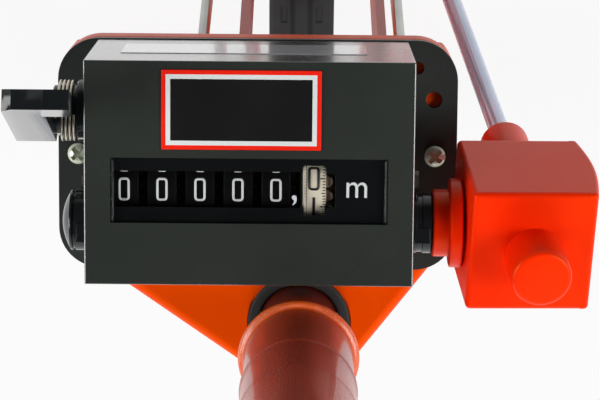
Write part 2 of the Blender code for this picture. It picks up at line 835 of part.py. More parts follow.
def build_arm(name, middle_x):
    half = ARM_THICKNESS / 2
    low_x = middle_x - half
    high_x = middle_x + half
    head = [counter_to_fork(*point) for point in arm_head_outline()]
    strap_top = (head[2][1] + head[3][1]) / 2
    strap = ARM_WIDTH / 2
    foot = arc((0, 0), strap, 180, 360, 8)
    outline = hull(head + [(-strap, strap_top), (strap, strap_top)])
    arm = extruded(name, outline, low_x, high_x, ORANGE_PAINT, "X")
    place(arm, fork_frame)
    lower = extruded(
        name + "_strap", foot + [(strap, strap_top), (-strap, strap_top)], low_x, high_x, None, "X"
    )
    place(lower, fork_frame)
    cut(arm, lower, "UNION")
    hole_low = low_x - CUT_OVERRUN
    hole_high = high_x + CUT_OVERRUN
    axle_hole = cylinder(name + "_axle_hole", BUSH_RADIUS + GAP, hole_low, hole_high, segments=16, axis="X")
    cut(arm, place(axle_hole, fork_frame))
    stand_hole = cylinder(
        name + "_stand_hole", STAND_WIRE_RADIUS + GAP, hole_low, hole_high, segments=12, axis="X"
    )
    cut(arm, place(stand_hole, fork_frame, (0, 0, STAND_UP_FORK)))
    bolt_hole = cylinder(name + "_bolt_hole", BOLT_RADIUS + GAP, hole_low, hole_high, segments=12, axis="X")
    cut(arm, place(bolt_hole, counter_frame, (-COUNTER_X, FORK_BOLT_Y, -BOLT_DEPTH)))


def build_bolt(name, bolt_y, low, high):
    """A bolt with a head and a round nut, across the housing's block."""
    profile = [
        (0, high + BOLT_HEAD_WIDTH),
        (BOLT_HEAD_RADIUS, high + BOLT_HEAD_WIDTH),
        (BOLT_HEAD_RADIUS, high),
        (BOLT_RADIUS, high),
        (BOLT_RADIUS, low),
        (BOLT_HEAD_RADIUS, low),
        (BOLT_HEAD_RADIUS, low - BOLT_HEAD_WIDTH),
        (0, low - BOLT_HEAD_WIDTH),
    ]
    bolt = turned(name, profile, STEEL_METAL, 12, "X", closed=False)
    place(bolt, counter_frame, (-COUNTER_X, bolt_y, -BOLT_DEPTH))


# Drive rod and gears

ROD_GEAR_TIP_LOW = (
    BEVEL_PITCH_RADIUS / math.tan(LOWER_CONE_ANGLE)
    * (1 - BEVEL_FACE * math.sin(LOWER_CONE_ANGLE) / BEVEL_PITCH_RADIUS)
)
ROD_GEAR_TIP_HIGH = (
    BEVEL_PITCH_RADIUS / math.tan(UPPER_CONE_ANGLE)
    * (1 - BEVEL_FACE * math.sin(UPPER_CONE_ANGLE) / BEVEL_PITCH_RADIUS)
)


def build_drive():
    bevel_gear(
        "axle_bevel_gear",
        LOWER_CONE_ANGLE,
        wheel_frame,
        (ROD_FOOT_X, 0, 0),
        (0, math.radians(-90), 0),
        0,
        AXLE_RADIUS + GAP,
        BRASS_METAL,
    )
    half_tooth = math.pi / BEVEL_TEETH
    bevel_gear(
        "rod_lower_gear",
        LOWER_CONE_ANGLE,
        rod_frame,
        (0, 0, 0),
        (0, 0, 0),
        half_tooth,
        ROD_RADIUS + GAP,
        BRASS_METAL,
    )
    bevel_gear(
        "rod_upper_gear",
        UPPER_CONE_ANGLE,
        rod_head,
        (0, 0, 0),
        (math.pi, 0, 0),
        half_tooth,
        ROD_RADIUS + GAP,
        BRASS_METAL,
    )
    bevel_gear(
        "counter_bevel_gear",
        UPPER_CONE_ANGLE,
        input_frame,
        (ROD_HEAD_X, 0, 0),
        (0, math.radians(-90), 0),
        FACE_LEAN - FORK_LEAN,
        INPUT_SHAFT_RADIUS + GAP,
        BRASS_METAL,
    )
    rod_low = ROD_GEAR_TIP_LOW
    rod_high = ROD_SPAN - ROD_GEAR_TIP_HIGH
    rod = cylinder("drive_rod", ROD_RADIUS, rod_low, rod_high, CHROME_DARK, 24)
    place(rod, rod_frame)


def build_hub_gearbox():
    """A round cup on the right arm's outer face, with a snout round the rod."""
    low = ARM_RIGHT_OUTER + GAP
    high = low + HUB_BOX_DEPTH
    cup = cylinder("hub_gearbox", HUB_BOX_RADIUS, low, high, ORANGE_PLASTIC, 24, "X")
    place(cup, fork_frame)
    snout = cylinder("hub_snout", HUB_BOX_SNOUT_RADIUS, 0, HUB_BOX_SNOUT_LENGTH, segments=16)
    cut(cup, place(snout, rod_frame), "UNION")
    inner = HUB_BOX_RADIUS - HUB_BOX_WALL
    hollow = cylinder("hub_hollow", inner, low - CUT_OVERRUN, high - HUB_BOX_WALL, segments=20, axis="X")
    cut(cup, place(hollow, fork_frame))
    bore = cylinder(
        "hub_snout_bore", ROD_RADIUS + RUNNING_GAP, 0, HUB_BOX_SNOUT_LENGTH + CUT_OVERRUN, segments=16
    )
    cut(cup, place(bore, rod_frame))


BOX_LEFT = -BOX_WIDTH / 2
BOX_RIGHT = BOX_WIDTH / 2


def bulged_outline(left, right, back, front, bulge):
    """Outline of the box seen from above: its right side bows out towards the back."""
    steps = 5
    points = [(left, back), (right, back)]
    for step in range(1, steps):
        share = step / steps
        points.append((right + bulge * math.sin(math.pi * share), back + (front - back) * share))
    points.append((right, front))
    points.append((left, front))
    return points


def build_head_gearbox():
    low = -BOX_HEIGHT / 2 - BOX_CENTRE_DROP
    high = BOX_HEIGHT / 2 - BOX_CENTRE_DROP
    body_right = BOX_RIGHT - COVER_THICKNESS
    body = box(
        "head_gearbox_body", (BOX_LEFT, low, -BOX_BACK), (body_right, high, BOX_FRONT), ORANGE_PLASTIC
    )
    place(body, box_frame)
    bevel(body, BOX_EDGE, 1)
    boss = cylinder("box_boss", BOSS_RADIUS, 0, BOX_FRONT + BOSS_LENGTH, segments=24)
    cut(body, place(boss, box_frame, (BOSS_SHIFT_X, -BOSS_DROP, 0)), "UNION")
    collar = cylinder("box_collar", COLLAR_RADIUS, -BOX_BACK - COLLAR_LENGTH, 0, segments=20)
    cut(body, place(collar, rod_head), "UNION")
    hollow = box(
        "box_hollow",
        (BOX_LEFT + BOX_WALL, low + BOX_WALL, -BOX_BACK + BOX_WALL),
        (body_right + CUT_OVERRUN, high - BOX_WALL, BOX_FRONT - BOX_WALL),
    )
    cut(body, place(hollow, box_frame))
    boss_hollow = cylinder(
        "boss_hollow", BOSS_RADIUS - BOSS_WALL, 0, BOX_FRONT + BOSS_LENGTH - BOSS_WALL, segments=16
    )
    cut(body, place(boss_hollow, box_frame, (BOSS_SHIFT_X, -BOSS_DROP, 0)))
    collar_bore = cylinder(
        "collar_bore", ROD_RADIUS + RUNNING_GAP, -BOX_BACK - COLLAR_LENGTH - CUT_OVERRUN, 0, segments=16
    )
    cut(body, place(collar_bore, rod_head))
    shaft_hole = cylinder(
        "box_shaft_hole", INPUT_SHAFT_RADIUS + RUNNING_GAP, 0, ROD_HEAD_X, segments=12, axis="X"
    )
    cut(body, place(shaft_hole, input_frame))

    outline = bulged_outline(body_right + GAP, BOX_RIGHT, -BOX_FRONT, BOX_BACK, BOX_BULGE)
    cover = extruded("head_gearbox_cover", outline, -high, -low, ORANGE_PLASTIC)
    turn_upright = (math.radians(90), 0, 0)
    place(cover, box_frame, rotation=turn_upright)
    cover.data.transform(Matrix.Diagonal((1, -1, 1, 1)))
    cover.data.flip_normals()
    bevel(cover, BOX_EDGE / 2, 1, 50)


def build_input_line():
    """Rings, cap and shaft between the counter and the head gearbox."""
    counter_right = COUNTER_X + COVER_WIDTH / 2
    cap_low = counter_right + GAP
    cap_high = cap_low + CAP_RIGHT_LENGTH
    bore = INPUT_SHAFT_RADIUS + RUNNING_GAP
    cap = turned(
        "bearing_cap_right",
        [(CAP_RADIUS, cap_high), (CAP_RADIUS, cap_low), (bore, cap_low), (bore, cap_high)],
        BLACK_GLOSS,
        20,
        "X",
    )
    place(cap, input_frame)
    step_low = cap_high + GAP
    step_high = step_low + RING_STEP_WIDTH
    ring_high = step_high + RING_WIDTH
    ring = turned(
        "gearbox_ring",
        [
            (RING_RADIUS, ring_high),
            (RING_RADIUS, step_high),
            (RING_STEP_RADIUS, step_high),
            (RING_STEP_RADIUS, step_low),
            (bore, step_low),
            (bore, ring_high),
        ],
        ORANGE_PLASTIC,
        28,
        "X",
    )
    place(ring, input_frame)
    clearance = box(
        "ring_trim",
        (BOX_LEFT - GAP, -BOX_HEIGHT, -BOX_BACK - GAP),
        (BOX_RIGHT, BOX_HEIGHT, BOX_FRONT + GAP),
    )
    cut(ring, place(clearance, box_frame))
    shaft_low = COUNTER_X + DIGIT_LAST_X + DIGIT_LAST_RIM / 2 + LOBE_WIDTH + RUNNING_GAP
    shaft_high = ROD_HEAD_X - ROD_GEAR_TIP_HIGH
    shaft = cylinder("input_shaft", INPUT_SHAFT_RADIUS, shaft_low, shaft_high, STEEL_METAL, 20, "X")
    place(shaft, input_frame)


# Counter

HALF_COVER_WIDTH = COVER_WIDTH / 2
HALF_COVER_HEIGHT = COVER_HEIGHT / 2
LENS_FRONT = -LENS_RECESS
LENS_BACK = LENS_FRONT - LENS_THICKNESS
PANEL_FRONT = -COVER_WALL - PANEL_GAP
PANEL_BACK = PANEL_FRONT - PANEL_THICKNESS
DIGIT_AXIS_Z = PANEL_BACK - RUNNING_GAP - DIGIT_RADIUS
DRIVE_DISTANCE = math.hypot(INPUT_DROP + DIGIT_CENTRE_Y, INPUT_DEPTH + DIGIT_AXIS_Z)
DRIVE_TURN = math.atan2(INPUT_DEPTH + DIGIT_AXIS_Z, INPUT_DROP + DIGIT_CENTRE_Y)


def build_cover():
    cover = box(
        "counter_cover",
        (-HALF_COVER_WIDTH, -HALF_COVER_HEIGHT, -COVER_DEPTH),
        (HALF_COVER_WIDTH, HALF_COVER_HEIGHT, 0),
        BLACK_PLASTIC,
    )
    place(cover, counter_frame)
    bevel(cover, COVER_EDGE, 2)
    hollow = box(
        "cover_hollow",
        (-HALF_COVER_WIDTH + COVER_WALL, -HALF_COVER_HEIGHT + COVER_WALL, -COVER_DEPTH - CUT_OVERRUN),
        (HALF_COVER_WIDTH - COVER_WALL, HALF_COVER_HEIGHT - COVER_WALL, -COVER_WALL),
    )
    cut(cover, place(hollow, counter_frame))
    half_width = WINDOW_WIDTH / 2
    half_height = WINDOW_HEIGHT / 2
    window = box(
        "cover_window",
        (WINDOW_CENTRE_X - half_width, WINDOW_CENTRE_Y - half_height, -COVER_WALL - CUT_OVERRUN),
        (WINDOW_CENTRE_X + half_width, WINDOW_CENTRE_Y + half_height, CUT_OVERRUN),
    )
    cut(cover, place(window, counter_frame))
    left_out = -HALF_COVER_WIDTH - CUT_OVERRUN
    left_in = -HALF_COVER_WIDTH + COVER_WALL + CUT_OVERRUN
    right_in = -left_in
    right_out = -left_out
    holes = (
        (
            "cover_input_hole",
            INPUT_SHAFT_RADIUS + RUNNING_GAP,
            right_in,
            right_out,
            -INPUT_DROP,
            -INPUT_DEPTH,
        ),
        (
            "cover_shaft_hole_right",
            DIGIT_SHAFT_RADIUS + GAP,
            right_in,
            right_out,
            DIGIT_CENTRE_Y,
            DIGIT_AXIS_Z,
        ),
        (
            "cover_shaft_hole_left",
            DIGIT_SHAFT_RADIUS + GAP,
            left_out,
            left_in,
            DIGIT_CENTRE_Y,
            DIGIT_AXIS_Z,
        ),
        ("cover_reset_hole", RESET_SHAFT_RADIUS + RUNNING_GAP, left_out, left_in, RESET_UP, -RESET_DEPTH),
    )
    for name, radius, low, high, centre_y, centre_z in holes:
        hole = cylinder(name, radius, low, high, segments=12, axis="X")
        cut(cover, place(hole, counter_frame, (0, centre_y, centre_z)))


def build_window():
    half_width = WINDOW_WIDTH / 2 - GAP
    half_height = WINDOW_HEIGHT / 2 - GAP
    lens = box(
        "window_lens",
        (WINDOW_CENTRE_X - half_width, WINDOW_CENTRE_Y - half_height, LENS_BACK),
        (WINDOW_CENTRE_X + half_width, WINDOW_CENTRE_Y + half_height, LENS_FRONT),
        CLEAR_PLASTIC,
    )
    bevel(lens, GAP, 1)
    place(lens, counter_frame)
    panel_width = WINDOW_WIDTH / 2 + PANEL_MARGIN
    panel_height = WINDOW_HEIGHT / 2 + PANEL_MARGIN
    slot_low = DIGIT_FIRST_X - DIGIT_PITCH / 2
    slot_high = DIGIT_LAST_X + DIGIT_LAST_RIM / 2 + LOBE_WIDTH + RUNNING_GAP
    outline = [
        (WINDOW_CENTRE_X - panel_width, WINDOW_CENTRE_Y - panel_height),
        (WINDOW_CENTRE_X + panel_width, WINDOW_CENTRE_Y - panel_height),
        (WINDOW_CENTRE_X + panel_width, WINDOW_CENTRE_Y + panel_height),
        (WINDOW_CENTRE_X - panel_width, WINDOW_CENTRE_Y + panel_height),
    ]
    slot_step = DIGIT_LAST_X - DIGIT_LAST_RIM / 2 - RUNNING_GAP
    slot = [
        (slot_low, SLOT_CENTRE_Y - SLOT_HEIGHT / 2),
        (slot_step, SLOT_CENTRE_Y - SLOT_HEIGHT / 2),
        (slot_step, SLOT_LAST_CENTRE_Y - SLOT_LAST_HEIGHT / 2),
        (slot_high, SLOT_LAST_CENTRE_Y - SLOT_LAST_HEIGHT / 2),
        (slot_high, SLOT_LAST_CENTRE_Y + SLOT_LAST_HEIGHT / 2),
        (slot_step, SLOT_LAST_CENTRE_Y + SLOT_LAST_HEIGHT / 2),
        (slot_step, SLOT_CENTRE_Y + SLOT_HEIGHT / 2),
        (slot_low, SLOT_CENTRE_Y + SLOT_HEIGHT / 2),
    ]
    panel = extruded("window_panel", outline, PANEL_BACK, PANEL_FRONT, BLACK_GLOSS, holes=[slot])
    place(panel, counter_frame)
    label_half_width = LABEL_WIDTH / 2
    label_half_height = LABEL_HEIGHT / 2
    label = box(
        "label_plate",
        (LABEL_CENTRE_X - label_half_width, LABEL_CENTRE_Y - label_half_height, GAP / 2),
        (LABEL_CENTRE_X + label_half_width, LABEL_CENTRE_Y + label_half_height, GAP / 2 + LABEL_THICKNESS),
        LABEL_RED,
    )
    place(label, counter_frame)


def digit_places():
    """Middle of each digit wheel's rim along the shaft, and the rim's width."""
    places = [(DIGIT_FIRST_X + index * DIGIT_PITCH, DIGIT_RIM) for index in range(5)]
    places.append((DIGIT_LAST_X, DIGIT_LAST_RIM))
    return places


TRANSFER_RADIUS = TRANSFER_MODULE * TRANSFER_TEETH / 2
PINION_RADIUS = TRANSFER_MODULE * PINION_TEETH / 2
PINION_DISTANCE = TRANSFER_RADIUS + PINION_RADIUS + GAP
TRANSFER_ADDENDUM = TRANSFER_ADDENDUM_SHARE * TRANSFER_MODULE
TRANSFER_DEDENDUM = TRANSFER_DEDENDUM_SHARE * TRANSFER_MODULE


def build_digit_wheels():
    axis_place = (0, DIGIT_CENTRE_Y, DIGIT_AXIS_Z)
    for index, (middle, rim) in enumerate(digit_places()):
        name = "digit_wheel_%d" % (index + 1)
        low = middle - rim / 2
        high = middle + rim / 2
        last = index == 5
        material = CREAM_PLASTIC if last else BLACK_PLASTIC
        wheel = cylinder(name, DIGIT_RADIUS, low, high, material, DIGIT_SEGMENTS, "X")
        place(wheel, counter_frame, axis_place)
        if last:
            drive = gear_outline(DRIVE_TEETH, DRIVE_DISTANCE / 2 - GAP / 2, GAP, 2 * GAP)
            lobes = gear_outline(LOBE_COUNT, LOBE_RADIUS - LOBE_WIDTH / 2, LOBE_WIDTH / 2, LOBE_WIDTH / 2)
            toothed = ((drive, high + LOBE_WIDTH + DRIVE_WIDTH), (lobes, high + LOBE_WIDTH))
            mesh_turn = (DRIVE_TURN, 0, 0)
        else:
            outline = gear_outline(TRANSFER_TEETH, TRANSFER_RADIUS, TRANSFER_ADDENDUM, TRANSFER_DEDENDUM)
            toothed = ((outline, high + TRANSFER_WIDTH),)
            mesh_turn = (0, 0, 0)
        for number, (outline, end) in enumerate(toothed):
            gear = extruded("%s_teeth_%d" % (name, number), outline, middle, end, axis="X")
            cut(wheel, place(gear, counter_frame, axis_place, mesh_turn), "UNION")
        bore_low = low - CUT_OVERRUN
        bore_high = high + 2 * CUT_OVERRUN
        bore = cylinder(
            name + "_bore", DIGIT_SHAFT_RADIUS + GAP, bore_low, bore_high, segments=12, axis="X"
        )
        cut(wheel, place(bore, counter_frame, axis_place))


def build_counter_shafts():
    half = HALF_COVER_WIDTH
    head = half + GAP
    shaft = turned(
        "digit_shaft",
        [
            (0, head + DIGIT_SHAFT_HEAD_WIDTH),
            (DIGIT_SHAFT_HEAD_RADIUS, head + DIGIT_SHAFT_HEAD_WIDTH),
            (DIGIT_SHAFT_HEAD_RADIUS, head),
            (DIGIT_SHAFT_RADIUS, head),
            (DIGIT_SHAFT_RADIUS, -head),
            (DIGIT_SHAFT_HEAD_RADIUS, -head),
            (DIGIT_SHAFT_HEAD_RADIUS, -head - DIGIT_SHAFT_HEAD_WIDTH),
            (0, -head - DIGIT_SHAFT_HEAD_WIDTH),
        ],
        STEEL_METAL,
        16,
        "X",
        closed=False,
    )
    place(shaft, counter_frame, (0, DIGIT_CENTRE_Y, DIGIT_AXIS_Z))
    pinion_z = DIGIT_AXIS_Z - PINION_DISTANCE
    frame_half = FRAME_WIDTH / 2
    pinion_shaft = cylinder(
        "pinion_shaft", PINION_SHAFT_RADIUS, -frame_half, frame_half, STEEL_METAL, 8, "X"
    )
    place(pinion_shaft, counter_frame, (0, DIGIT_CENTRE_Y, pinion_z))
    places = digit_places()
    half_pinion_tooth = math.pi / PINION_TEETH
    for index in range(5):
        middle, rim = places[index]
        low = middle + rim / 2 + GAP
        high = middle + rim / 2 + TRANSFER_WIDTH
        outline = gear_outline(PINION_TEETH, PINION_RADIUS, TRANSFER_ADDENDUM, TRANSFER_DEDENDUM)
        pinion = extruded(
            "transfer_pinion_%d" % (index + 1),
            outline,
            low,
            high,
            CREAM_PLASTIC,
            "X",
            [circle(PINION_SHAFT_RADIUS + GAP, 8)],
        )
        place(pinion, counter_frame, (0, DIGIT_CENTRE_Y, pinion_z), (half_pinion_tooth, 0, 0))
    gear_low = DIGIT_LAST_X + DIGIT_LAST_RIM / 2 + LOBE_WIDTH + RUNNING_GAP
    gear_high = gear_low + DRIVE_WIDTH - RUNNING_GAP
    outline = gear_outline(DRIVE_TEETH, DRIVE_DISTANCE / 2 - GAP / 2, GAP, 2 * GAP)
    gear = extruded(
        "input_gear", outline, gear_low, gear_high, BRASS_METAL, "X", [circle(INPUT_SHAFT_RADIUS + GAP, 12)]
    )
    place(gear, counter_frame, (0, -INPUT_DROP, -INPUT_DEPTH), (DRIVE_TURN + math.pi / DRIVE_TEETH, 0, 0))


def build_counter_frame():
    """A channel with two side walls, on the mounting plate."""
    half_width = FRAME_WIDTH / 2
    half_height = FRAME_HEIGHT / 2
    back = -COVER_DEPTH
    channel = box(
        "counter_frame",
        (-half_width, -half_height, back),
        (half_width, half_height, -FRAME_FRONT_DEPTH),
        STEEL_METAL,
    )
    place(channel, counter_frame)
    inside = half_width - FRAME_WALL
    hollow = box(
        "frame_hollow",
        (-inside, -half_height - CUT_OVERRUN, back + FRAME_WALL),
        (inside, half_height + CUT_OVERRUN, CUT_OVERRUN),
    )
    cut(channel, place(hollow, counter_frame))
    low = -half_width - CUT_OVERRUN
    high = half_width + CUT_OVERRUN
    holes = (
        ("frame_digit_hole", DIGIT_SHAFT_RADIUS + GAP, low, high, DIGIT_CENTRE_Y, DIGIT_AXIS_Z),
        (
            "frame_pinion_hole",
            PINION_SHAFT_RADIUS + GAP,
            low,
            high,
            DIGIT_CENTRE_Y,
            DIGIT_AXIS_Z - PINION_DISTANCE,
        ),
        ("frame_input_hole", INPUT_SHAFT_RADIUS + RUNNING_GAP, 0, high, -INPUT_DROP, -INPUT_DEPTH),
        ("frame_reset_hole", RESET_SHAFT_RADIUS + RUNNING_GAP, low, high, RESET_UP, -RESET_DEPTH),
    )
    for name, radius, start, end, centre_y, centre_z in holes:
        hole = cylinder(name, radius, start, end, segments=12, axis="X")
        cut(channel, place(hole, counter_frame, (0, centre_y, centre_z)))


def build_left_cap():
    """The domed cap on the counter's left side."""
    outer = -HALF_COVER_WIDTH - GAP
    groove = CAP_BORE_GAP
    profile = [
        (0, outer),
        (CAP_RADIUS, outer),
        (CAP_RADIUS, outer - CAP_LEFT_LENGTH / 2),
        (CAP_RADIUS - groove, outer - CAP_LEFT_LENGTH / 2 - groove),
        (CAP_RADIUS, outer - CAP_LEFT_LENGTH / 2 - 2 * groove),
    ]
    for radius_share, length_share in CAP_DOME_SHARES:
        profile.append((CAP_RADIUS * radius_share, outer - CAP_LEFT_LENGTH * length_share))
    cap = turned("bearing_cap_left", profile, BLACK_GLOSS, 20, "X", closed=False)
    place(cap, counter_frame, (0, -INPUT_DROP, -INPUT_DEPTH))


# Reset lever, its shaft and its spring

def build_reset():
    frame_half = FRAME_WIDTH / 2
    shaft_left = -LEVER_ARM_LEFT + LEVER_ARM_WIDTH / 2
    reset_frame = frame_empty("reset_frame", counter_frame, (0, RESET_UP, -RESET_DEPTH))
    shaft = cylinder("reset_shaft", RESET_SHAFT_RADIUS, shaft_left, frame_half, STEEL_METAL, 20, "X")
    place(shaft, reset_frame)
    blade_end = frame_half - FRAME_WALL - RUNNING_GAP
    half_blade = RESET_BLADE_THICKNESS / 2
    blade = box("reset_blade", (-blade_end, -half_blade, 0), (blade_end, half_blade, RESET_BLADE_REACH))
    cut(shaft, place(blade, reset_frame, rotation=(LEVER_TILT, 0, 0)), "UNION")

    along = Vector((math.sin(LEVER_TILT), math.cos(LEVER_TILT)))
    under = Vector((-math.cos(LEVER_TILT), math.sin(LEVER_TILT)))
    tip_under = Vector((LEVER_TIP_RISE, LEVER_TIP_FORWARD))
    tip_top = tip_under - under * PAD_THICKNESS
    heel = (-LEVER_HEEL_DROP, LEVER_HEEL_FORWARD)
    outline = hull(circle(LEVER_HUB_RADIUS, 20) + [heel, tuple(tip_under), tuple(tip_top)])
    arm_right = -LEVER_ARM_LEFT + LEVER_ARM_WIDTH
    lever = extruded("reset_lever", outline, -LEVER_ARM_LEFT, arm_right, BLACK_GLOSS, "X")
    place(lever, reset_frame)
    bevel(lever, LEVER_EDGE, 1, 50)
    pad_outline = [
        tuple(tip_under),
        tuple(tip_under - along * PAD_DEPTH),
        tuple(tip_under - along * PAD_DEPTH - under * PAD_THICKNESS),
        tuple(tip_top),
    ]
    pad = extruded("lever_pad", pad_outline, arm_right - LEVER_SINK, -LEVER_ARM_LEFT + PAD_WIDTH, axis="X")
    cut(lever, place(pad, reset_frame), "UNION")
    barrel_low = arm_right - LEVER_SINK
    barrel = cylinder(
        "lever_barrel", LEVER_BARREL_RADIUS, barrel_low, -LEVER_BARREL_END, segments=28, axis="X"
    )
    cut(lever, place(barrel, reset_frame), "UNION")
    flange_low = -LEVER_BARREL_END - LEVER_FLANGE_WIDTH
    flange = cylinder(
        "lever_flange", LEVER_FLANGE_RADIUS, flange_low, -LEVER_BARREL_END, segments=28, axis="X"
    )
    cut(lever, place(flange, reset_frame), "UNION")
    bore = cylinder("lever_bore", RESET_SHAFT_RADIUS + GAP, shaft_left - GAP, 0, segments=20, axis="X")
    cut(lever, place(bore, reset_frame))

    points = []
    start_x = arm_right + GAP + SPRING_WIRE / 2
    first_angle = math.radians(90)
    leg_direction = Vector((0, 0, 1))
    top = Vector((start_x, SPRING_RADIUS, 0))
    leg_end = top + leg_direction * SPRING_LEG
    points.append(leg_end - Vector((0, SPRING_HOOK, 0)))
    points.append(leg_end)
    count = SPRING_TURNS * SPRING_POINTS
    for step in range(count + 1):
        angle = first_angle + math.tau * step / SPRING_POINTS
        drift = SPRING_PITCH * step / SPRING_POINTS
        points.append(
            Vector((start_x + drift, SPRING_RADIUS * math.sin(angle), SPRING_RADIUS * math.cos(angle)))
        )
    last = points[-1]
    points.append(last - leg_direction * SPRING_TAIL)
    spring = wire("reset_spring", points, SPRING_WIRE / 2, STEEL_METAL, 1)
    place(spring, reset_frame)
    report_spring_gap(points)


def report_spring_gap(points):
    """Print the least distance between turns of the spring, surface to surface."""
    least = SPRING_LEG
    for first in range(len(points)):
        for second in range(first + SPRING_POINTS // 2, len(points)):
            least = min(least, (points[first] - points[second]).length)
    print("Least gap between the spring's turns: %.2f mm" % ((least - SPRING_WIRE) * 1000))


# Mounting plate, housing and screws

PLATE_BACK_DEPTH = PLATE_FRONT_DEPTH + PLATE_THICKNESS


def plate_outline():
    return rounded_rectangle(PLATE_LEFT, PLATE_RIGHT, PLATE_BOTTOM, PLATE_TOP, PLATE_CORNER, 4)


def build_plate():
    plate = extruded(
        "mounting_plate", plate_outline(), -PLATE_BACK_DEPTH, -PLATE_FRONT_DEPTH, BLACK_PLASTIC
    )
    place(plate, counter_frame)
    low = -PLATE_BACK_DEPTH - CUT_OVERRUN
    high = -PLATE_FRONT_DEPTH + CUT_OVERRUN
    holes = (
        ("plate_hole_left", SCREW_RADIUS + GAP, SCREW_LEFT_X, SCREW_Y),
        ("plate_hole_right", SCREW_RADIUS + GAP, SCREW_RIGHT_X, SCREW_Y),
        ("plate_spare_hole", SPARE_HOLE_RADIUS, SPARE_HOLE_X, SPARE_HOLE_Y),
        ("plate_small_hole", SMALL_HOLE_RADIUS, SMALL_HOLE_X, SMALL_HOLE_Y),
    )
    for name, radius, x, y in holes:
        hole = cylinder(name, radius, low, high, segments=16)
        cut(plate, place(hole, counter_frame, (x, y, 0)))


def build_plate_screw(name, x):
    head_base = -PLATE_FRONT_DEPTH + GAP
    head_top = head_base + SCREW_HEAD_HEIGHT
    screw = turned(
        name,
        [
            (0, head_top),
            (SCREW_HEAD_RADIUS * SCREW_CROWN_SHARE, head_top),
            (SCREW_HEAD_RADIUS, head_base + SCREW_HEAD_HEIGHT * SCREW_RIM_SHARE),
            (SCREW_HEAD_RADIUS, head_base),
            (SCREW_RADIUS, head_base),
            (SCREW_RADIUS, head_base - SCREW_LENGTH),
            (0, head_base - SCREW_LENGTH),
        ],
        STEEL_METAL,
        16,
        closed=False,
    )
    place(screw, counter_frame, (x, SCREW_Y, 0))
    reach = SCREW_HEAD_RADIUS * RECESS_REACH_SHARE
    half = RECESS_WIDTH / 2
    for number, (across, along) in enumerate(((reach, half), (half, reach))):
        slot = box(
            "%s_recess_%d" % (name, number),
            (-across, -along, head_top - RECESS_DEPTH),
            (across, along, head_top + CUT_OVERRUN),
        )
        cut(screw, place(slot, counter_frame, (x, SCREW_Y, 0), (0, 0, RECESS_TURN)))


NOSE_CENTRE = (-COUNTER_X, -POLE_DROP)


def housing_outline(inset):
    """The plate's outline drawn together with a round nose about the pole."""
    plate = rounded_rectangle(
        PLATE_LEFT + inset,
        PLATE_RIGHT - inset,
        HOUSING_BOTTOM + inset,
        PLATE_TOP - inset,
        HOUSING_CORNER - inset,
        4,
    )
    nose = arc(NOSE_CENTRE, HOUSING_NOSE_RADIUS - inset, 180, 360, 14)
    return hull(plate + nose)


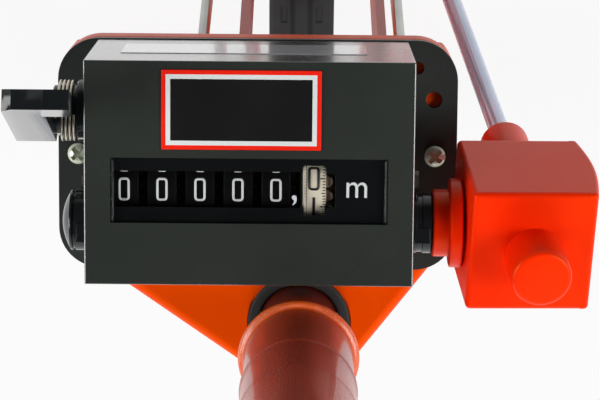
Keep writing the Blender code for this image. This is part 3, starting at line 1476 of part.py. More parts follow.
def build_housing():
    low = -HOUSING_BACK_DEPTH
    high = -HOUSING_FRONT_DEPTH
    housing = extruded("housing", housing_outline(0), low, high, ORANGE_PLASTIC)
    place(housing, counter_frame)
    bevel(housing, HOUSING_EDGE, 1, 60)
    pole_x = -COUNTER_X
    neck = POLE_BUSH_NECK_RADIUS + GAP
    slot_left = ARM_LEFT_OUTER - GAP + pole_x
    slot_left_inner = ARM_LEFT_INNER + GAP + pole_x
    slot_right_inner = ARM_RIGHT_INNER - GAP + pole_x
    slot_right = ARM_RIGHT_OUTER + GAP + pole_x
    slot_bottom = ARM_HEAD_BOTTOM - GAP
    slot_top = ARM_HEAD_TOP + ARM_SLOT_ROOM
    floor = -SLOT_FLOOR_DEPTH
    opening = low - CUT_OVERRUN
    boxes = (
        ("arm_slot_left", (slot_left, slot_bottom, opening), (slot_left_inner, slot_top, floor)),
        ("arm_slot_right", (slot_right_inner, slot_bottom, opening), (slot_right, slot_top, floor)),
        (
            "back_step",
            (PLATE_LEFT - CUT_OVERRUN, PLATE_TOP - HOUSING_STEP, opening),
            (PLATE_RIGHT + CUT_OVERRUN, PLATE_TOP + CUT_OVERRUN, high - HOUSING_TOP_DEPTH),
        ),
    )
    for name, corner, other in boxes:
        cut(housing, place(box(name, corner, other), counter_frame))
    inner = clip_outline(housing_outline(HOUSING_WALL), 1, PLATE_TOP - HOUSING_STEP - HOUSING_WALL, -1)
    pockets = (("pocket_left", slot_left, -1), ("pocket_right", slot_right, 1))
    for name, limit, side in pockets:
        pocket = extruded(name, clip_outline(inner, 0, limit, side), opening, floor)
        cut(housing, place(pocket, counter_frame))
    bolt_hole = cylinder("fork_bolt_hole", BOLT_RADIUS + GAP, slot_left, slot_right, segments=12, axis="X")
    cut(housing, place(bolt_hole, counter_frame, (0, FORK_BOLT_Y, -BOLT_DEPTH)))
    reach = HOUSING_NOSE_RADIUS + CUT_OVERRUN
    pole_bolt_hole = cylinder("pole_bolt_hole", BOLT_RADIUS + GAP, -reach, reach, segments=12, axis="X")
    cut(housing, place(pole_bolt_hole, counter_frame, (pole_x, POLE_BOLT_Y, -BOLT_DEPTH)))
    seat = POLE_BOLT_HALF - GAP
    for name, start, end in (("bolt_seat_left", -reach, -seat), ("bolt_seat_right", seat, reach)):
        recess = cylinder(name, BOLT_HEAD_RADIUS + GAP, start, end, segments=16, axis="X")
        cut(housing, place(recess, counter_frame, (pole_x, POLE_BOLT_Y, -BOLT_DEPTH)))
    tube_bore = cylinder(
        "housing_tube_bore", TUBE_RADIUS + GAP, -TUBE_IN_HOUSING - GAP, CUT_OVERRUN, segments=28
    )
    cut(housing, place(tube_bore, pole_frame))
    neck_low = -POLE_BUSH_NECK - GAP
    neck_high = POLE_BUSH_FLANGE + CUT_OVERRUN
    neck_bore = cylinder("housing_neck_bore", neck, neck_low, neck_high, segments=28)
    cut(housing, place(neck_bore, pole_frame))
    flange_bore = cylinder(
        "housing_flange_bore", POLE_BUSH_RADIUS + GAP, -POLE_BUSH_FLANGE, SLEEVE_START, segments=28
    )
    cut(housing, place(flange_bore, pole_frame))
    for name, x in (("housing_screw_hole_left", SCREW_LEFT_X), ("housing_screw_hole_right", SCREW_RIGHT_X)):
        hole = cylinder(name, SCREW_RADIUS + GAP, high - SCREW_LENGTH, high + CUT_OVERRUN, segments=12)
        cut(housing, place(hole, counter_frame, (x, SCREW_Y, 0)))


def clip_outline(outline, axis, limit, side):
    """The part of a convex outline that lies beyond a line across one axis."""
    points = []
    count = len(outline)
    for index in range(count):
        here = outline[index]
        there = outline[(index + 1) % count]
        here_in = (here[axis] - limit) * side > 0
        there_in = (there[axis] - limit) * side > 0
        if here_in:
            points.append(here)
        if here_in != there_in:
            share = (limit - here[axis]) / (there[axis] - here[axis])
            points.append(tuple(start + (end - start) * share for start, end in zip(here, there)))
    return points


# Pole

def build_lower_pole():
    bore = TUBE_RADIUS + GAP
    bush = turned(
        "pole_bush",
        [
            (POLE_BUSH_RADIUS, 0),
            (POLE_BUSH_RADIUS, -POLE_BUSH_FLANGE + GAP),
            (POLE_BUSH_NECK_RADIUS, -POLE_BUSH_FLANGE + GAP),
            (POLE_BUSH_NECK_RADIUS, -POLE_BUSH_NECK),
            (bore, -POLE_BUSH_NECK),
            (bore, 0),
        ],
        RUBBER,
        24,
    )
    place(bush, pole_frame)
    tube_top = FOLD_AT - FOLD_REACH - GAP
    inner = TUBE_RADIUS - TUBE_WALL
    tube = turned(
        "lower_tube",
        [
            (TUBE_RADIUS, tube_top),
            (TUBE_RADIUS, -TUBE_IN_HOUSING),
            (inner, -TUBE_IN_HOUSING),
            (inner, tube_top),
        ],
        ORANGE_PAINT,
        24,
    )
    place(tube, pole_frame)
    reach = TUBE_RADIUS + CUT_OVERRUN
    hole = cylinder("tube_bolt_hole", BOLT_RADIUS + GAP, -reach, reach, segments=12, axis="X")
    cut(tube, place(hole, counter_frame, (-COUNTER_X, POLE_BOLT_Y, -BOLT_DEPTH)))


def build_sleeve():
    start = SLEEVE_START
    neck_end = start + SLEEVE_RIM_WIDTH + SLEEVE_NECK_LENGTH
    end = start + SLEEVE_LENGTH
    half_rim = SLEEVE_RIM_WIDTH / 2
    bead = SLEEVE_STEP
    profile = [
        (SLEEVE_BODY_RADIUS - bead, end),
        (SLEEVE_BODY_RADIUS, end - bead),
        (SLEEVE_BODY_RADIUS, neck_end + bead),
        (SLEEVE_NECK_RADIUS, neck_end),
        (SLEEVE_NECK_RADIUS, start + SLEEVE_RIM_WIDTH + bead),
        (SLEEVE_RIM_RADIUS - bead, start + SLEEVE_RIM_WIDTH),
        (SLEEVE_RIM_RADIUS, start + half_rim),
        (SLEEVE_RIM_RADIUS - bead, start),
        (SLEEVE_BORE_RADIUS, start),
        (SLEEVE_BORE_RADIUS, end),
    ]
    place(turned("lock_sleeve", profile, ORANGE_PLASTIC, 28), pole_frame)


def build_fold():
    """Socket with two ears on the lower tube, tongue on the upper tube, and their pin."""
    plug_radius = TUBE_RADIUS - TUBE_WALL - GAP
    collar_radius = TUBE_RADIUS
    socket = turned(
        "fold_socket",
        [
            (0, -FOLD_REACH + FOLD_EAR),
            (collar_radius, -FOLD_REACH + FOLD_EAR),
            (collar_radius, -FOLD_REACH),
            (plug_radius, -FOLD_REACH),
            (plug_radius, -FOLD_REACH - FOLD_PLUG),
            (0, -FOLD_REACH - FOLD_PLUG),
        ],
        STEEL_METAL,
        24,
        closed=False,
    )
    place(socket, fold_frame)
    knuckle = arc((0, 0), FOLD_KNUCKLE_RADIUS, 0, 180, 10)
    foot = -FOLD_REACH + FOLD_EAR / 2
    ear_outline = knuckle + [(-FOLD_KNUCKLE_RADIUS, foot), (FOLD_KNUCKLE_RADIUS, foot)]
    ear_inner = FOLD_TONGUE / 2 + GAP
    for side in (-1, 1):
        low = min(side * ear_inner, side * (ear_inner + FOLD_EAR))
        ear = extruded("fold_ear_%d" % (side + 1), ear_outline, low, low + FOLD_EAR, axis="X")
        cut(socket, place(ear, fold_frame), "UNION")
    pin_length = ear_inner + FOLD_EAR
    pin_reach = pin_length + CUT_OVERRUN
    pin_hole = cylinder(
        "fold_pin_hole", FOLD_PIN_RADIUS + GAP, -pin_reach, pin_reach, segments=12, axis="X"
    )
    cut(socket, place(pin_hole, fold_frame))

    tongue = turned(
        "fold_tongue",
        [
            (0, FOLD_REACH + FOLD_PLUG),
            (plug_radius, FOLD_REACH + FOLD_PLUG),
            (plug_radius, FOLD_REACH),
            (collar_radius, FOLD_REACH),
            (collar_radius, FOLD_REACH - FOLD_EAR),
            (0, FOLD_REACH - FOLD_EAR),
        ],
        STEEL_METAL,
        24,
        closed=False,
    )
    place(tongue, fold_frame)
    lower_knuckle = arc((0, 0), FOLD_KNUCKLE_RADIUS, 180, 360, 10)
    head = FOLD_REACH - FOLD_EAR / 2
    tongue_outline = lower_knuckle + [(FOLD_KNUCKLE_RADIUS, head), (-FOLD_KNUCKLE_RADIUS, head)]
    half_tongue = FOLD_TONGUE / 2
    blade = extruded("fold_blade", tongue_outline, -half_tongue, half_tongue, axis="X")
    cut(tongue, place(blade, fold_frame), "UNION")
    cut(tongue, pin_hole)
    pin = cylinder("fold_pin", FOLD_PIN_RADIUS, -pin_length, pin_length, STEEL_METAL, 12, "X")
    place(pin, fold_frame)


def build_upper_pole():
    start = FOLD_REACH + GAP
    end = start + UPPER_TUBE_LENGTH
    inner = TUBE_RADIUS - TUBE_WALL
    tube = turned(
        "upper_tube",
        [(TUBE_RADIUS, end), (TUBE_RADIUS, start), (inner, start), (inner, end)],
        BLACK_PLASTIC,
        24,
    )
    place(tube, fold_frame)
    grip_low = end - GRIP_OVERLAP
    grip_high = end + GRIP_END
    profile = [
        (0, grip_high),
        (GRIP_RADIUS - GRIP_RIB_DEPTH, grip_high),
        (GRIP_RADIUS, grip_high - GRIP_RIB_DEPTH),
    ]
    rib_top = grip_high - GRIP_FIRST_RIB
    for index in range(GRIP_RIB_COUNT):
        top = rib_top - index * GRIP_RIB_STEP
        profile.append((GRIP_RADIUS, top))
        profile.append((GRIP_RADIUS - GRIP_RIB_DEPTH, top - GRIP_RIB_STEP / 4))
        profile.append((GRIP_RADIUS, top - GRIP_RIB_STEP / 2))
    bore = TUBE_RADIUS + GAP
    profile += [
        (GRIP_RADIUS, grip_low + 2 * GRIP_COLLAR_WIDTH),
        (GRIP_COLLAR_RADIUS, grip_low + GRIP_COLLAR_WIDTH),
        (GRIP_COLLAR_RADIUS, grip_low),
        (bore, grip_low),
        (bore, end + GAP),
        (0, end + GAP),
    ]
    place(turned("grip", profile, RUBBER, 16, closed=False), fold_frame)


# Kickstand

def build_kickstand():
    pivot_height = HUB_HEIGHT + STAND_UP_FORK * math.cos(FORK_LEAN)
    facet_turn = math.pi / STAND_FOOT_SEGMENTS
    foot_facet = STAND_FOOT_RADIUS * math.cos(facet_turn)
    foot_drop = pivot_height - foot_facet
    left_tip = ARM_LEFT_INNER + STAND_TIP
    right_tip = ARM_RIGHT_INNER - STAND_TIP
    corners = [
        (left_tip, 0, 0),
        (-STAND_LEG_X, 0, 0),
        (-STAND_FOOT_X, -STAND_FOOT_BACK, -foot_drop),
        (STAND_FOOT_X, -STAND_FOOT_BACK, -foot_drop),
        (STAND_LEG_X, 0, 0),
        (right_tip, 0, 0),
    ]
    stand_path = rounded_path(corners, STAND_BEND)
    place(wire("kickstand", stand_path, STAND_WIRE_RADIUS, STEEL_METAL, 2), stand_pivot)
    half = STAND_FOOT_LENGTH / 2
    bore = STAND_WIRE_RADIUS + GAP
    foot = turned(
        "kickstand_foot",
        [(STAND_FOOT_RADIUS, half), (STAND_FOOT_RADIUS, -half), (bore, -half), (bore, half)],
        RUBBER,
        STAND_FOOT_SEGMENTS,
        "X",
    )
    place(foot, stand_pivot, (0, -STAND_FOOT_BACK, -foot_drop), (facet_turn, 0, 0))


build_tyre()
build_rim()
build_axle()
build_axle_bush("axle_bush_left", ARM_LEFT_INNER, ARM_LEFT_OUTER)
build_axle_bush("axle_bush_right", ARM_RIGHT_INNER, ARM_RIGHT_OUTER)
build_arm("fork_arm_left", ARM_LEFT_X)
build_arm("fork_arm_right", ARM_RIGHT_X)
build_bolt("fork_bolt", FORK_BOLT_Y, ARM_LEFT_OUTER - GAP, ARM_RIGHT_OUTER + GAP)
build_bolt("pole_bolt", POLE_BOLT_Y, -POLE_BOLT_HALF, POLE_BOLT_HALF)
build_drive()
build_hub_gearbox()
build_head_gearbox()
build_input_line()
build_cover()
build_window()
build_digit_wheels()
build_counter_shafts()
build_counter_frame()
build_left_cap()
build_reset()
build_plate()
build_plate_screw("plate_screw_left", SCREW_LEFT_X)
build_plate_screw("plate_screw_right", SCREW_RIGHT_X)
build_housing()
build_lower_pole()
build_sleeve()
build_fold()
build_upper_pole()
build_kickstand()


def centre_on_ground():
    """Move the whole wheel so that its box stands centred over the origin."""
    bpy.context.view_layer.update()
    graph = bpy.context.evaluated_depsgraph_get()
    lowest = Vector((math.inf, math.inf, math.inf))
    highest = -lowest
    for obj in PARTS.objects:
        if obj.type == "EMPTY":
            continue
        evaluated = obj.evaluated_get(graph)
        mesh = evaluated.to_mesh()
        for vertex in mesh.vertices:
            point = evaluated.matrix_world @ vertex.co
            lowest = Vector(map(min, lowest, point))
            highest = Vector(map(max, highest, point))
        evaluated.to_mesh_clear()
    centre = (lowest + highest) / 2
    stand.location = (-centre.x, -centre.y, -lowest.z)
    bpy.context.view_layer.update()


centre_on_ground()
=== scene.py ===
# %% [markdown]
# # A measuring wheel, dressed for a photograph
# The wheel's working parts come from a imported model: every part has its place, its joints and its
# size. This lesson gives them their finished shapes and surfaces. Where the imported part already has
# the real shape it only gets a finish; where the real one is rounder, grained or printed, a new piece
# is modelled on the same place and stands for it.

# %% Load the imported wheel
import json
import math

import bpy
from mathutils import Matrix, Vector


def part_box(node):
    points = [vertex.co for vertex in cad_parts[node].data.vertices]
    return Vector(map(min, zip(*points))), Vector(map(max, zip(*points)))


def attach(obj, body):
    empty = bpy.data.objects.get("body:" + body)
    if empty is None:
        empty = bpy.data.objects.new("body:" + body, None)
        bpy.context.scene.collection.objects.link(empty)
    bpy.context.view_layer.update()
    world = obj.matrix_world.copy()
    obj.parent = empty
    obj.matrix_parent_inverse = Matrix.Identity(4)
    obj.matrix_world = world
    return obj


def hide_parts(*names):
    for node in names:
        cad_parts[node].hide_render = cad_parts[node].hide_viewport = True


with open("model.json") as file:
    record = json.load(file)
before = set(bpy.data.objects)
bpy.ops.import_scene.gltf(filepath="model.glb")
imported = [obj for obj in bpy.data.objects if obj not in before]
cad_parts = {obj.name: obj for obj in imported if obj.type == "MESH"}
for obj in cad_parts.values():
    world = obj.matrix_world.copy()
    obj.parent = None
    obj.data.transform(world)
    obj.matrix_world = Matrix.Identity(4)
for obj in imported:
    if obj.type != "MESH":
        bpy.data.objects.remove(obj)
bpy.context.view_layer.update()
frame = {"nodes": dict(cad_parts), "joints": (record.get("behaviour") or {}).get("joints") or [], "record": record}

# %% [markdown]
# ## Where the sections of the wheel stand
# A hand-held wheel leans: the fork leans 30 degrees, the pole 22 and the counter's face 14. It is
# easiest to model each piece upright in its own frame and then to carry it over with one matrix, so
# the frames are worked out once, from the wheel's hub. All lengths are in metres.

# %% Frames of the fork, the counter, the pole and the gearbox
joints = {joint["name"]: joint for joint in frame["joints"]}
hub = Vector(joints["wheel_spin"]["pos_m"])

# From the hub to the counter's input shaft, and from the pole's foot to its fold joint.
FORK_LENGTH = 0.3806
FOLD_HEIGHT = 0.170

# Seen from the middle of the counter's face: the wheel's plane, the three shafts and the pole.
MIDDLE_X = 0.0145
INPUT_Y, INPUT_Z = -0.01685, -0.0184
RESET_Y, RESET_Z = 0.0146, -0.0239
DIGITS_Y, DIGITS_Z = -0.0044, -0.0169
POLE_Y, POLE_Z = -0.0559, -0.0568

# The rod leans out from the hub's right side to the gearbox.
ROD_FOOT_X, ROD_HEAD_X = 0.0365, 0.0681


def turn(degrees, axis):
    return Matrix.Rotation(math.radians(degrees), 4, axis)


def shift(x, y, z):
    return Matrix.Translation((x, y, z))


WHEEL = Matrix.Translation(hub)
FORK = WHEEL @ turn(30, "X")
INPUT = FORK @ shift(0, 0, FORK_LENGTH) @ turn(-16, "X")
FACE = INPUT @ shift(-MIDDLE_X, -INPUT_Y, -INPUT_Z)
POLE = FACE @ shift(MIDDLE_X, POLE_Y, POLE_Z) @ turn(8, "X")
FOLD = POLE @ shift(0, 0, FOLD_HEIGHT)
RESET = FACE @ shift(0, RESET_Y, RESET_Z)
CAP = FACE @ shift(0, INPUT_Y, INPUT_Z)
DIGITS = FACE @ shift(0, DIGITS_Y, DIGITS_Z)
rod_tilt = math.degrees(math.atan((ROD_HEAD_X - ROD_FOOT_X) / FORK_LENGTH))
rod_span = math.hypot(ROD_HEAD_X - ROD_FOOT_X, FORK_LENGTH)
ROD = FORK @ shift(ROD_FOOT_X, 0, 0) @ turn(rod_tilt, "Y")
ROD_HEAD = ROD @ shift(0, 0, rod_span)
BOX = ROD_HEAD @ shift(-0.003, 0, 0) @ turn(-2, "Z")
print("The hub is at", [round(value, 4) for value in hub])

# %% [markdown]
# ## Helpers that do what the hand does
# Each helper below is a short run of ordinary operators: add a primitive, go into edit mode, extrude
# or spin, come back, apply. Everything is deselected first, because an operator acts on all that is
# selected.

# %% Select, enter edit mode and apply a place
def only(piece):
    if bpy.context.object is not None and bpy.context.object.mode != "OBJECT":
        bpy.ops.object.mode_set(mode="OBJECT")
    bpy.ops.object.select_all(action="DESELECT")
    piece.select_set(True)
    bpy.context.view_layer.objects.active = piece


def edit(piece, mode="VERT", select="SELECT"):
    only(piece)
    bpy.ops.object.mode_set(mode="EDIT")
    bpy.ops.mesh.select_mode(type=mode)
    bpy.ops.mesh.select_all(action=select)


def done():
    bpy.ops.object.mode_set(mode="OBJECT")


def pick(piece, mode, wanted):
    """Enter edit mode with only those corners, edges or faces selected that are wanted."""
    edit(piece, mode, "DESELECT")
    done()
    kinds = {"VERT": piece.data.vertices, "EDGE": piece.data.edges, "FACE": piece.data.polygons}
    for element in kinds[mode]:
        element.select = wanted(element)
    bpy.ops.object.mode_set(mode="EDIT")


def put(piece, matrix):
    only(piece)
    piece.matrix_world = matrix @ piece.matrix_world
    bpy.context.view_layer.update()
    bpy.ops.object.transform_apply(location=True, rotation=True, scale=True)
    return piece


def outward(piece):
    edit(piece)
    bpy.ops.mesh.remove_doubles(threshold=0.000005)
    bpy.ops.mesh.normals_make_consistent(inside=False)
    done()
    return piece


def smooth(piece, degrees=35):
    """Shade smooth up to an angle, and let the large faces stay flat beside small bevels."""
    only(piece)
    bpy.ops.object.shade_smooth_by_angle(angle=math.radians(degrees))
    modifier = piece.modifiers.new("weigh", "WEIGHTED_NORMAL")
    modifier.keep_sharp = True
    bpy.ops.object.modifier_apply(modifier=modifier.name)
    return piece


# %% A block, and a shape drawn as an outline and extruded
def block(name, low, high):
    bpy.ops.object.select_all(action="DESELECT")
    middle = (Vector(low) + Vector(high)) / 2
    bpy.ops.mesh.primitive_cube_add(size=1, location=middle)
    piece = bpy.context.object
    piece.name = name
    piece.scale = Vector(high) - Vector(low)
    bpy.ops.object.transform_apply(location=True, rotation=True, scale=True)
    return piece


def traced(name, points, closed):
    """One vertex, extruded from point to point."""
    bpy.ops.object.select_all(action="DESELECT")
    bpy.ops.mesh.primitive_plane_add(size=0.001)
    piece = bpy.context.object
    piece.name = name
    edit(piece)
    bpy.ops.mesh.merge(type="CENTER")
    bpy.ops.transform.translate(value=Vector(points[0]))
    for before, after in zip(points, points[1:]):
        step = Vector(after) - Vector(before)
        bpy.ops.mesh.extrude_region_move(TRANSFORM_OT_translate={"value": step})
    done()
    if closed:
        last = len(piece.data.vertices) - 1
        pick(piece, "VERT", lambda vertex: vertex.index in (0, last))
        bpy.ops.mesh.edge_face_add()
        done()
    return piece


def drawn(name, outline, low, high):
    """A flat outline in X and Y, filled and extruded along Z."""
    piece = traced(name, [(x, y, low) for x, y in outline], True)
    edit(piece)
    bpy.ops.mesh.edge_face_add()
    bpy.ops.mesh.extrude_region_move(TRANSFORM_OT_translate={"value": (0, 0, high - low)})
    done()
    return outward(piece)


# %% A turned shape, a rod, and joining or cutting shapes
def turned(name, profile, steps=64, closed=False):
    """A profile of (radius, height), spun about Z. It may start and end on the axis."""
    piece = traced(name, [(radius, 0, height) for radius, height in profile], closed)
    edit(piece)
    bpy.ops.mesh.spin(steps=steps, angle=math.tau, center=(0, 0, 0), axis=(0, 0, 1))
    done()
    return outward(piece)


def mirrored(profile):
    """The profile's other half, walked backwards, for shapes that are alike on both sides."""
    return [(radius, -height) for radius, height in reversed(profile)]


def pin(name, radius, low, high, steps):
    """A plain cylinder on Z, mostly used as a drill."""
    return turned(name, [(0, low), (radius, low), (radius, high), (0, high)], steps)


def along_x(piece):
    return put(piece, turn(90, "Y"))


def rod_along_x(name, radius, low, high, edge=0.0003, steps=40):
    profile = [(0, low), (radius - edge, low), (radius, low + edge)]
    profile += [(radius, high - edge), (radius - edge, high), (0, high)]
    return along_x(turned(name, profile, steps))


def boolean(piece, other, operation):
    only(piece)
    modifier = piece.modifiers.new("boolean", "BOOLEAN")
    modifier.operation = operation
    modifier.solver = "EXACT"
    modifier.object = other
    bpy.ops.object.modifier_apply(modifier=modifier.name)
    bpy.data.objects.remove(other)
    return piece


def cut(piece, other):
    return boolean(piece, other, "DIFFERENCE")


def weld(piece, other):
    return boolean(piece, other, "UNION")


def round_edges(piece, width, segments=3, degrees=35):
    """Round every edge that is sharper than the angle."""
    only(piece)
    modifier = piece.modifiers.new("round", "BEVEL")
    modifier.width = width
    modifier.segments = segments
    modifier.limit_method = "ANGLE"
    modifier.angle_limit = math.radians(degrees)
    bpy.ops.object.modifier_apply(modifier=modifier.name)
    return piece


def joined(pieces):
    only(pieces[0])
    for piece in pieces:
        piece.select_set(True)
    bpy.ops.object.join()
    return bpy.context.object


def copied(piece, name):
    only(piece)
    bpy.ops.object.duplicate()
    copy = bpy.context.object
    copy.name = name
    return copy


# %% Arcs, rounded outlines and wires
def arc(centre, radius, start, end, steps=8):
    points = []
    for step in range(steps + 1):
        angle = math.radians(start + (end - start) * step / steps)
        points.append((centre[0] + radius * math.cos(angle), centre[1] + radius * math.sin(angle)))
    return points


def rounded(left, right, low, high, corner, steps=8):
    outline = arc((right - corner, high - corner), corner, 0, 90, steps)
    outline += arc((left + corner, high - corner), corner, 90, 180, steps)
    outline += arc((left + corner, low + corner), corner, 180, 270, steps)
    outline += arc((right - corner, low + corner), corner, 270, 360, steps)
    return outline


def wire(name, points, radius, resolution=4):
    """A traced path made a curve, given its thickness, and made a mesh again."""
    piece = traced(name, points, False)
    only(piece)
    bpy.ops.object.convert(target="CURVE")
    piece.data.bevel_depth = radius
    piece.data.bevel_resolution = resolution
    piece.data.use_fill_caps = True
    bpy.ops.object.convert(target="MESH")
    return smooth(outward(bpy.context.object), 50)


# %% [markdown]
# ## The camera
# The photograph looks down along the pole from the user's eye. A long lens keeps the counter's sides
# nearly parallel. The camera is placed from the hub, tilted 4.1 degrees and rolled half a degree,
# which makes the counter's corners fall where they do in the photograph.

# %% Camera at the user's eye
tilt = Vector((0, -0.0722, 0.99739))
level = Vector((1, 0, 0))
upward = Vector((0, 0.99739, 0.0722))
roll = math.radians(0.5)
right_of_view = level * math.cos(roll) + upward * math.sin(roll)
top_of_view = upward * math.cos(roll) - level * math.sin(roll)
eye = hub + Vector((0, -0.2378, 1.0731))

bpy.ops.object.camera_add()
camera = bpy.context.object
camera.name = "eye"
camera.data.lens = 153
camera.data.sensor_width = 36
camera.data.clip_start = 0.01
columns = (right_of_view, top_of_view, tilt, eye)
camera.matrix_world = Matrix([[column[row] for column in columns] for row in range(3)] + [[0, 0, 0, 1]])
bpy.context.scene.camera = camera
bpy.context.scene.view_settings.view_transform = "Standard"
print("The camera is", round((eye - FACE.translation).length, 3), "m from the counter")

# %% [markdown]
# ## How finishes are built
# Every finish is a Principled shader fed by noise in the object's own coordinates: one slow noise
# that drifts the colour, one fine noise that raises the grain. Colours are worked out from the
# photograph as screen values, so a small helper turns them into the linear numbers that shaders use.

# %% Colours, nodes and a finish with grain
def linear(red, green, blue):
    values = []
    for value in (red, green, blue):
        share = value / 255
        values.append(share / 12.92 if share < 0.04045 else ((share + 0.055) / 1.055) ** 2.4)
    return (*values, 1)


def set_inputs(node, **settings):
    """Set a node's inputs. An underscore in a name stands for a space."""
    for name, value in settings.items():
        node.inputs[name.replace("_", " ")].default_value = value
    return node


def add_node(nodes, kind, **settings):
    return set_inputs(nodes.new("ShaderNode" + kind), **settings)


def ramp_node(nodes, low, low_colour, high, high_colour):
    """A ramp from one colour to another between two places."""
    ramp = nodes.new("ShaderNodeValToRGB")
    first, last = ramp.color_ramp.elements
    first.position = low
    first.color = low_colour
    last.position = high
    last.color = high_colour
    return ramp


def noise_node(nodes, links, place, scale, detail):
    noise = add_node(nodes, "TexNoise", Scale=scale, Detail=detail)
    links.new(place.outputs["Object"], noise.inputs["Vector"])
    return noise


def tune(material, **settings):
    set_inputs(material.node_tree.nodes["Principled BSDF"], **settings)


def start_finish(name, roughness, metallic=0.0, coat=0.0, specular=0.5):
    material = bpy.data.materials.new(name)
    material.use_nodes = True
    tune(material, Roughness=roughness, Metallic=metallic, Specular_IOR_Level=specular)
    tune(material, Coat_Weight=coat, Coat_Roughness=0.08)
    nodes = material.node_tree.nodes
    place = nodes.new("ShaderNodeTexCoord")
    return material, nodes, material.node_tree.links, nodes["Principled BSDF"], place


def drift(nodes, links, place, shader, dark, light, scale):
    """Two close colours, given as screen values, that drift into each other."""
    noise = noise_node(nodes, links, place, scale, 4)
    ramp = ramp_node(nodes, 0.35, linear(*dark), 0.65, linear(*light))
    links.new(noise.outputs["Fac"], ramp.inputs["Fac"])
    links.new(ramp.outputs["Color"], shader.inputs["Base Color"])


def grain(nodes, links, place, shader, scale, height):
    """A fine bump of the given height in metres."""
    noise = noise_node(nodes, links, place, scale, 2)
    bump = add_node(nodes, "Bump", Strength=0.5, Distance=height)
    links.new(noise.outputs["Fac"], bump.inputs["Height"])
    links.new(bump.outputs["Normal"], shader.inputs["Normal"])


def dull_spots(nodes, links, place, shader, scale, low, high):
    """Roughness that changes a little over the surface, as handling leaves it."""
    noise = noise_node(nodes, links, place, scale, 5)
    spread = add_node(nodes, "MapRange", To_Min=low, To_Max=high)
    links.new(noise.outputs["Fac"], spread.inputs["Value"])
    links.new(spread.outputs["Result"], shader.inputs["Roughness"])


def grained_finish(name, dark, light, roughness, scale, height, **more):
    material, nodes, links, shader, place = start_finish(name, roughness, **more)
    drift(nodes, links, place, shader, dark, light, 30)
    grain(nodes, links, place, shader, scale, height)
    dull_spots(nodes, links, place, shader, 90, roughness * 0.85, min(roughness * 1.2, 1))
    return material


# %% [markdown]
# ## Plastics and paints
# The counter's steel cover is powder coated: dark grey-green with a fine orange-peel grain. The
# gearbox is moulded in bright orange plastic with a soft gloss, the housing in a slightly deeper
# one, and what both mirror is tinted orange. The caps and the lever are black plastic, smoother than
# the cover. The lever's underside takes a copy of that black with a far stronger mirror and a bluish
# tint, which is painted reflection.

# %% Powder coat and moulded plastics
powder_coat = grained_finish(
    "powder_coat", (39, 44, 40), (45, 50, 45), 0.26, 1500, 0.00004, specular=1.0, coat=0.8
)
tune(powder_coat, Coat_IOR=1.9, Coat_Roughness=0.16)
plate_coat = grained_finish("plate_coat", (38, 43, 40), (46, 51, 48), 0.42, 1300, 0.0001)
bright_orange = grained_finish("bright_orange", (247, 38, 0), (252, 46, 0), 0.36, 900, 0.00002)
housing_orange = grained_finish(
    "housing_orange", (244, 72, 0), (251, 80, 0), 0.4, 1100, 0.00004, specular=0.3
)
for orange in (bright_orange, housing_orange):
    tune(orange, Specular_Tint=(1, 0.4, 0.08, 1))
arm_paint = grained_finish("arm_paint", (176, 44, 14), (190, 52, 18), 0.35, 700, 0.00004, coat=0.2)
drum_black = grained_finish("drum_black", (10, 9, 9), (14, 12, 12), 0.4, 1300, 0.00003, specular=0.1)
gloss_black = grained_finish(
    "gloss_black", (28, 31, 33), (34, 37, 39), 0.18, 600, 0.00001, specular=0.4
)
# A copy of the black with a far stronger mirror and a bluish tint, for the lever's underside: painted reflection.
black_with_painted_reflection = grained_finish(
    "black_with_painted_reflection", (16, 18, 24), (22, 24, 30), 0.14, 600, 0.00001, specular=1.0, coat=1.0
)
tune(black_with_painted_reflection, Coat_IOR=4.8)
window_black = grained_finish("window_black", (13, 15, 16), (17, 19, 20), 0.2, 300, 0.00001)
print("Coats and plastics are ready")

# %% Inks, the white strip and the cream drum's plastics
ink_white = grained_finish("ink_white", (222, 228, 226), (234, 240, 238), 0.5, 900, 0.00001)
strip_white = grained_finish(
    "strip_white", (246, 247, 250), (250, 251, 253), 0.2, 900, 0.00001, specular=1.0, coat=0.8
)
tune(strip_white, Coat_IOR=2.0)
ink_red = grained_finish("ink_red", (248, 26, 2), (252, 32, 4), 0.45, 900, 0.00001, specular=0.3)
ink_black = grained_finish("ink_black", (15, 15, 16), (20, 20, 21), 0.4, 900, 0.00002, specular=0.3)
cream = grained_finish("cream", (232, 222, 200), (240, 230, 208), 0.45, 700, 0.00002)
lobe_brown = grained_finish("lobe_brown", (150, 126, 110), (172, 148, 130), 0.4, 700, 0.00002)
print("Inks and drum plastics are ready")

# %% [markdown]
# ## Metals, rubber, leather grain and the clear pane
# Metal is all reflection, so its finish is mostly roughness: zinc is a little rough, the spring is
# yellowish steel. The drive rod is smooth dark chrome, but it takes a pale blue-white with little
# metal in it, which is painted reflection of the bright surroundings. The lock sleeve has a moulded
# leather grain, which is a cell pattern: the borders of the cells sink. Its skin takes a darker red
# orange, which is painted shade, and its bead a brighter orange, which is painted light. The pane is
# nearly clear, so its skin lets almost all light through; its two end faces take a pale grey, which
# is a painted highlight.

# %% Metals and rubber
bright_zinc = grained_finish(
    "bright_zinc", (216, 220, 198), (230, 234, 212), 0.24, 500, 0.00002, metallic=0.45
)
zinc = grained_finish("zinc", (168, 170, 166), (196, 198, 192), 0.3, 500, 0.00002, metallic=1.0)
dull_steel = grained_finish(
    "dull_steel", (92, 92, 80), (112, 112, 98), 0.55, 900, 0.00003, metallic=1.0
)
